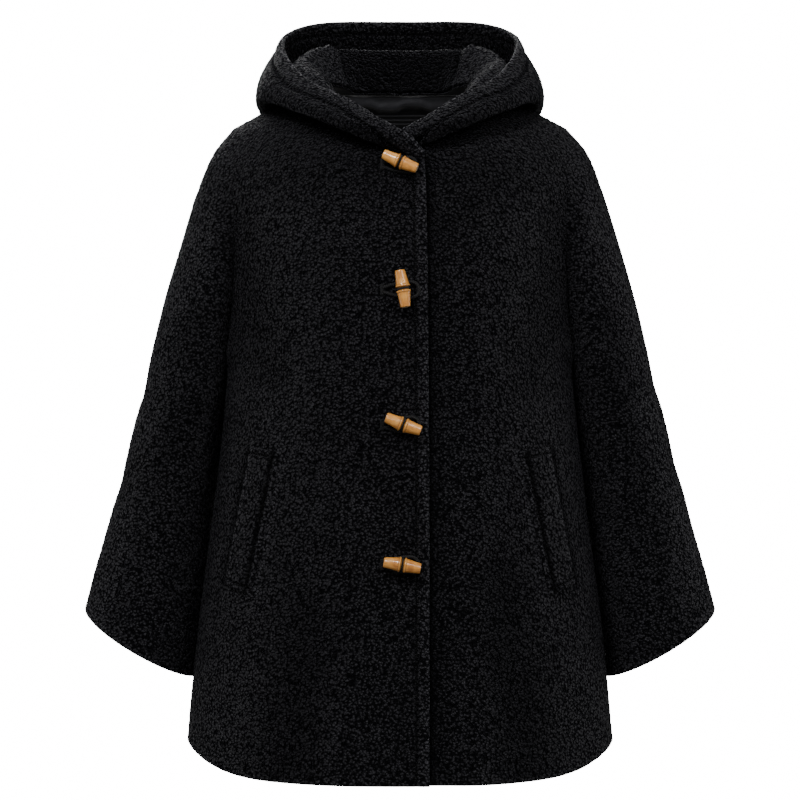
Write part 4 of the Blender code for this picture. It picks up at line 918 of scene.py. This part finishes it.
def bamboo_toggle(name, x, z, tilt, number):
    """Rings along the length: the profile's radius, a little oval, with shallow ribs
    radius * (1 + sine of the angle), closed at each end by rings that sink into the pith."""
    sides = 64
    centre, along, normal = toggle_frame(x, z, tilt)
    side = np.cross(along, normal)
    reach = np.concatenate([np.linspace(0.0, 0.006, 22)[:-1], np.linspace(0.006, 0.0205, 26)[:-1],
                            np.linspace(0.0205, HALF_LENGTH, 6)])
    radius = cubic(BAMBOO_PROFILE[:, 0], BAMBOO_PROFILE[:, 1:], reach, limited_slopes)[:, 0]
    cut_reach = np.array([HALF_LENGTH, 0.02135, 0.0211, 0.0210, 0.0210])
    cut_radius = CUT_RADIUS * np.array([0.92, 0.78, 0.5, 0.25, 0.02])
    reach = np.concatenate([reach, cut_reach])
    radius = np.concatenate([radius, cut_radius])
    pith = np.concatenate([np.zeros(len(reach) - 6), [0.3, 0.75, 1.0, 0.8, 0.6, 0.7]])
    reach, radius, pith = (np.concatenate([part[:0:-1] * sign, part]) for part, sign in
                           ((reach, -1), (radius, 1), (pith, 1)))
    angle = 2 * np.pi * np.arange(sides) / sides
    ribs = 1 + 0.012 * np.sin(2 * angle + number) + 0.006 * np.sin(5 * angle + 2 * number)
    bent = 0.0007 * (reach / HALF_LENGTH) ** 2
    ring = np.cos(angle)[:, None] * normal + np.sin(angle)[:, None] * side
    points = (centre + reach[:, None, None] * along + bent[:, None, None] * side * (-1) ** number
              + (radius[:, None] * ribs[None, :])[..., None] * ring[None])
    index = np.arange(len(reach) * sides).reshape(len(reach), sides)
    index = np.concatenate([index, index[:, :1]], axis=1)
    node = np.exp(-(reach / 0.0019) ** 2) + 0.5 * np.exp(-((np.abs(reach) - 0.0046) / 0.0006) ** 2)
    piece = add_piece(name, points.reshape(-1, 3), [quads(index), index[:1, :-1], index[-1:, -2::-1]],
                      [bamboo], values={"node": np.repeat(np.clip(node, 0, 1), sides),
                                        "pith": np.repeat(pith, sides)})
    set_uv(piece, np.tile(np.abs(angle / np.pi - 1.0) + number, len(reach)),
           np.repeat(0.5 + reach / (2 * HALF_LENGTH) + number, sides))
    return piece


bamboo = bamboo_finish()
for number, (x, z, tilt) in enumerate(TOGGLES, start=1):
    toggle = bamboo_toggle(f"toggle_{number}_bamboo", x, z, tilt, number)
    sewn_on(toggle, "toggle", f"toggle_{number}")

# ------------------------------------------------------------------ the toggle ties
# Waxed black thread wound three times round the toggle's waist; its ends go down through the front as a
# short wrapped shank that holds the toggle on.
THREAD_RADIUS = 0.00052
SHANK_RADIUS, SHANK_OFFSET = 0.0006, 0.00075
TIE_TURNS, SHANK_THREADS = 3, 4


def cord_finish(name, strands):
    """Black round cord, twisted: slanted strands across the UV, each a rounded ridge with a soft shine."""
    material, shader, add, links = new_finish(name, (0.006, 0.006, 0.007), 0.60, 0.28)
    shader.inputs["Sheen Weight"].default_value = 0.05
    uv = add("ShaderNodeUVMap").outputs[0]
    parts = add("ShaderNodeSeparateXYZ", i0=uv)
    turn = add("ShaderNodeMath", "MULTIPLY_ADD", i0=parts.outputs[0], i1=strands, i2=0.0)
    slant = add("ShaderNodeMath", "ADD", i0=turn.outputs[0], i1=parts.outputs[1])
    wave = add("ShaderNodeMath", "MULTIPLY", i0=slant.outputs[0], i1=2 * np.pi)
    ridge = add("ShaderNodeMath", "SINE", i0=wave.outputs[0])
    place = add("ShaderNodeTexCoord").outputs["Object"]
    fuzz = add("ShaderNodeTexNoise", Vector=place, Scale=2400.0, Detail=2.0)
    height = add("ShaderNodeMath", "MULTIPLY_ADD", i0=fuzz.outputs["Fac"], i1=0.5, i2=ridge.outputs[0])
    tint = add("ShaderNodeValToRGB", Fac=height.outputs[0])
    tint.color_ramp.elements[0].position, tint.color_ramp.elements[1].position = 0.0, 1.0
    tint.color_ramp.elements[0].color = (0.0018, 0.0018, 0.0021, 1.0)
    tint.color_ramp.elements[1].color = (0.0115, 0.0115, 0.0128, 1.0)
    links.new(tint.outputs["Color"], shader.inputs["Base Color"])
    roughened(add, links, shader, height.outputs[0], 0.7, 0.0003)
    return material


def tube(path, radius, up, sides=12, twist=900.0):
    """Rings of the given radius along a path, set square to it and steadied by the direction up, closed at
    both ends.  The UV's u runs once round and v along, in strand lengths."""
    ahead = np.gradient(path, axis=0)
    ahead /= np.linalg.norm(ahead, axis=1)[:, None]
    side = np.cross(ahead, up)
    side /= np.linalg.norm(side, axis=1)[:, None]
    over = np.cross(side, ahead)
    angle = 2 * np.pi * np.arange(sides) / sides
    ring = np.cos(angle)[None, :, None] * side[:, None] + np.sin(angle)[None, :, None] * over[:, None]
    radius = np.broadcast_to(radius, len(path))
    points = path[:, None] + radius[:, None, None] * ring
    index = np.arange(len(path) * sides).reshape(len(path), sides)
    index = np.concatenate([index, index[:, :1]], axis=1)
    faces = [quads(index)[:, ::-1], index[:1, -2::-1], index[-1:, :-1]]
    along = running_length(path, 0)
    u = np.tile(np.abs(angle / np.pi - 1.0), len(path))
    return points.reshape(-1, 3), faces, u, np.repeat(along * twist, sides)


def together(parts):
    """Several (points, faces, u, v) as one, with the point numbers of each moved on."""
    first = np.cumsum([0] + [len(part[0]) for part in parts])
    faces = [group + start for part, start in zip(parts, first) for group in part[1]]
    return (np.concatenate([part[0] for part in parts]), faces,
            np.concatenate([part[2] for part in parts]), np.concatenate([part[3] for part in parts]))


def toggle_tie(name, x, z, tilt):
    """A helix of three turns round the waist, and four twisted threads from it down to the front."""
    centre, along, normal = toggle_frame(x, z, tilt)
    side = np.cross(along, normal)
    turn = np.linspace(0.0, 2 * TIE_TURNS * np.pi, 145) + np.pi
    ring = np.cos(turn)[:, None] * normal + np.sin(turn)[:, None] * side
    winding = centre + (WAIST_RADIUS + 0.0005) * ring + along * np.linspace(-0.0009, 0.0009, 145)[:, None]
    parts = [tube(winding, THREAD_RADIUS, along, 10)]
    drop = np.linspace(0.0, 1.0, 25)
    deep = WAIST_RADIUS + (TOGGLE_RISE - WAIST_RADIUS - SHANK_RADIUS) * drop
    for strand in range(SHANK_THREADS):
        spin = 2 * np.pi * (drop * 1.2 + strand / SHANK_THREADS)
        offset = np.cos(spin)[:, None] * along + np.sin(spin)[:, None] * side
        thread_path = centre - normal * deep[:, None] + SHANK_OFFSET * offset
        parts.append(tube(thread_path, SHANK_RADIUS, along, 8))
    points, faces, u, v = together(parts)
    piece = add_piece(name, points, faces, [thread])
    set_uv(piece, u, v)
    return piece


thread = cord_finish("waxed_thread", 1.0)
for number, (x, z, tilt) in enumerate(TOGGLES, start=1):
    tie = toggle_tie(f"toggle_tie_{number}_thread", x, z, tilt)
    sewn_on(tie, "cord", f"toggle_tie_{number}")

# ------------------------------------------------------------------ the cord loops
# A loop of round twisted black cord on the over front for each toggle.  It lies round the toggle's shank
# and both its ends are sewn down under a short bar tab.
TAB_X = -0.0205
TAB_SIZE = (0.005, 0.0040, 0.013)
CORD_WIDTH = 0.0020       # half the cord's thickness with its soft pile
LOOP_REACH, LOOP_HALF_WIDTH, LOOP_START = 0.0185, 0.0088, 0.0026
UNDER_TAB = 0.0012        # the ends run this far in under the tab


def cord_loop(name, x, z):
    """A half circle past the shank with two leads back to the tab that close in as a sine."""
    start = TAB_X + TAB_SIZE[0] / 2 - UNDER_TAB
    turn = np.linspace(-0.5 * np.pi, 0.5 * np.pi, 41)
    arc_x = x + LOOP_REACH - LOOP_HALF_WIDTH + LOOP_HALF_WIDTH * np.cos(turn)
    arc_z = z + LOOP_HALF_WIDTH * np.sin(turn)
    lead = np.linspace(0.0, 1.0, 25)[:-1]
    lead_x = start + (arc_x[0] - start) * lead
    lead_z = LOOP_START + (LOOP_HALF_WIDTH - LOOP_START) * np.sin(lead * np.pi / 2)
    path_x = np.concatenate([lead_x, arc_x, lead_x[::-1]])
    path_z = np.concatenate([z - lead_z, arc_z, z + lead_z[::-1]])
    points, normals = front_surface(path_x, path_z)
    path = points + normals * (CORD_WIDTH + SEAT_GAP)
    points, faces, u, v = tube(path, CORD_WIDTH, normals, sides=16, twist=420.0)
    piece = add_piece(name, points, faces, [loop_cord])
    set_uv(piece, u, v)
    return piece


loop_cord = cord_finish("twisted_cord", 2.0)
for number, (x, z, _tilt) in enumerate(TOGGLES, start=1):
    loop = cord_loop(f"loop_{number}_cord", x, z)
    sewn_on(loop, "cord", f"loop_{number}")

# ------------------------------------------------------------------ the loop tabs
# A short thread-wrapped bar over each pair of cord ends, worked through the front.
WRAPS = 11
TAB_EDGE = 0.0004         # height of its lowest edge
TAB_ROWS, TAB_COLUMNS = 133, 25


def loop_tab(name, z):
    """A half-round bar, height * (1 - (across / half width) to the 4th), ridged by its wraps as a sine of
    the length and closed in below."""
    width, depth, height = TAB_SIZE
    along = np.linspace(-1.0, 1.0, TAB_ROWS)[:, None]
    across = np.linspace(-1.0, 1.0, TAB_COLUMNS)[None, :]
    ridge = 0.5 + 0.5 * np.cos((along + 1.0) * np.pi * WRAPS)
    end = np.sqrt(np.clip(1.0 - np.abs(along) ** 14, 0.0, 1.0))
    x = TAB_X + width / 2 * across * (0.94 + 0.06 * ridge)
    at_z = z + height / 2 * along + 0.0 * across
    points, normals = front_surface(x.reshape(-1), at_z.reshape(-1))
    top = (TAB_EDGE + (depth - TAB_EDGE) * (1.0 - across ** 4) * (0.86 + 0.14 * ridge) * end).reshape(-1)
    index = np.arange(len(points)).reshape(TAB_ROWS, TAB_COLUMNS)
    every = np.concatenate([points + normals * (SEAT_GAP + top)[:, None], points + normals * SEAT_GAP])
    piece = add_piece(name, every, sheet_faces(index, flipped=True), [thread])
    u = np.tile(np.linspace(0.0, 1.0, TAB_COLUMNS), TAB_ROWS)
    v = np.repeat(np.linspace(0.0, WRAPS, TAB_ROWS), TAB_COLUMNS)
    set_uv(piece, np.concatenate([u, u]), np.concatenate([v, v]))
    return piece


for number, (_x, z, _tilt) in enumerate(TOGGLES, start=1):
    tab = loop_tab(f"loop_tab_{number}_thread", z)
    sewn_on(tab, "cord", f"loop_tab_{number}")

# ------------------------------------------------------------------ the studio
# A pale floor below the coat that sweeps up into a white wall all round, soft lights, and the camera.
FLOOR_Z = -1.40


def sweep():
    """A round floor of radius 7 m that turns up, in a quarter circle of radius 2 m, into a wall whose top
    is 9 m above it."""
    bend = np.linspace(0.1, np.pi / 2, 12)
    reach = np.concatenate([[0.0, 3.0, 6.0], 7.0 + 2.0 * np.sin(bend), [9.0]])
    rise = np.concatenate([[0.0, 0.0, 0.0], 2.0 - 2.0 * np.cos(bend), [9.0]])
    angle = 2 * np.pi * np.arange(97) / 96
    points = np.stack([reach[:, None] * np.cos(angle), reach[:, None] * np.sin(angle),
                       rise[:, None] + 0 * angle + FLOOR_Z], axis=-1)
    index = np.arange(len(reach) * 97).reshape(len(reach), 97)
    return points.reshape(-1, 3), [quads(index)]


stage_paint, stage_shader, _add, _links = new_finish("stage_paint", (0.9, 0.9, 0.9), 0.9, 0.1)
stage_shader.inputs["Emission Color"].default_value = (1.0, 1.0, 1.0, 1.0)
stage_shader.inputs["Emission Strength"].default_value = 16.0
stage = add_piece("stage", *sweep(), [stage_paint])
stage.visible_diffuse = False
stage.visible_glossy = False
stage.visible_shadow = False


def soft_light(name, place, aim, size, power):
    """A square soft box at a place, turned to a point."""
    lamp = bpy.data.lights.new(name, "AREA")
    lamp.size = size
    lamp.energy = power
    light = bpy.data.objects.new(name, lamp)
    light.location = place
    towards = np.array(aim, float) - np.array(place, float)
    flat = np.hypot(towards[0], towards[1])
    light.rotation_euler = (np.pi / 2 + np.arctan2(towards[2], flat), 0.0,
                            np.arctan2(towards[1], towards[0]) - np.pi / 2)
    bpy.context.scene.collection.objects.link(light)


soft_light("key", (-0.85, -2.15, 1.55), (0.0, 0.0, -0.12), 0.8, 45.0)
soft_light("front", (-0.3, -3.2, 0.5), (0.0, 0.0, -0.20), 0.3, 5.0)
soft_light("fill", (1.9, -2.6, 1.2), (0.0, 0.0, -0.20), 1.6, 38.0)
soft_light("top", (0.2, 0.6, 2.6), (0.0, 0.0, 0.0), 1.8, 6.0)
soft_light("left", (-3.0, 0.9, -0.5), (0.0, 0.0, -0.45), 1.4, 14.0)
soft_light("right", (3.0, 0.9, -0.5), (0.0, 0.0, -0.45), 1.4, 14.0)
soft_light("back", (-0.6, 3.0, 1.2), (0.0, 0.0, -0.3), 2.0, 70.0)
world = bpy.data.worlds.new("studio")
world.use_nodes = True
world.node_tree.nodes["Background"].inputs["Color"].default_value = (1.0, 1.0, 1.0, 1.0)
world.node_tree.nodes["Background"].inputs["Strength"].default_value = 0.22
bpy.context.scene.world = world

lens = bpy.data.cameras.new("photo")
lens.lens, lens.sensor_width = 131.25, 36.0
camera = bpy.data.objects.new("photo", lens)
camera.location = (0.0, -3.5, -0.348)
camera.rotation_euler = (np.pi / 2, 0.0, 0.0)
bpy.context.scene.collection.objects.link(camera)
bpy.context.scene.camera = camera
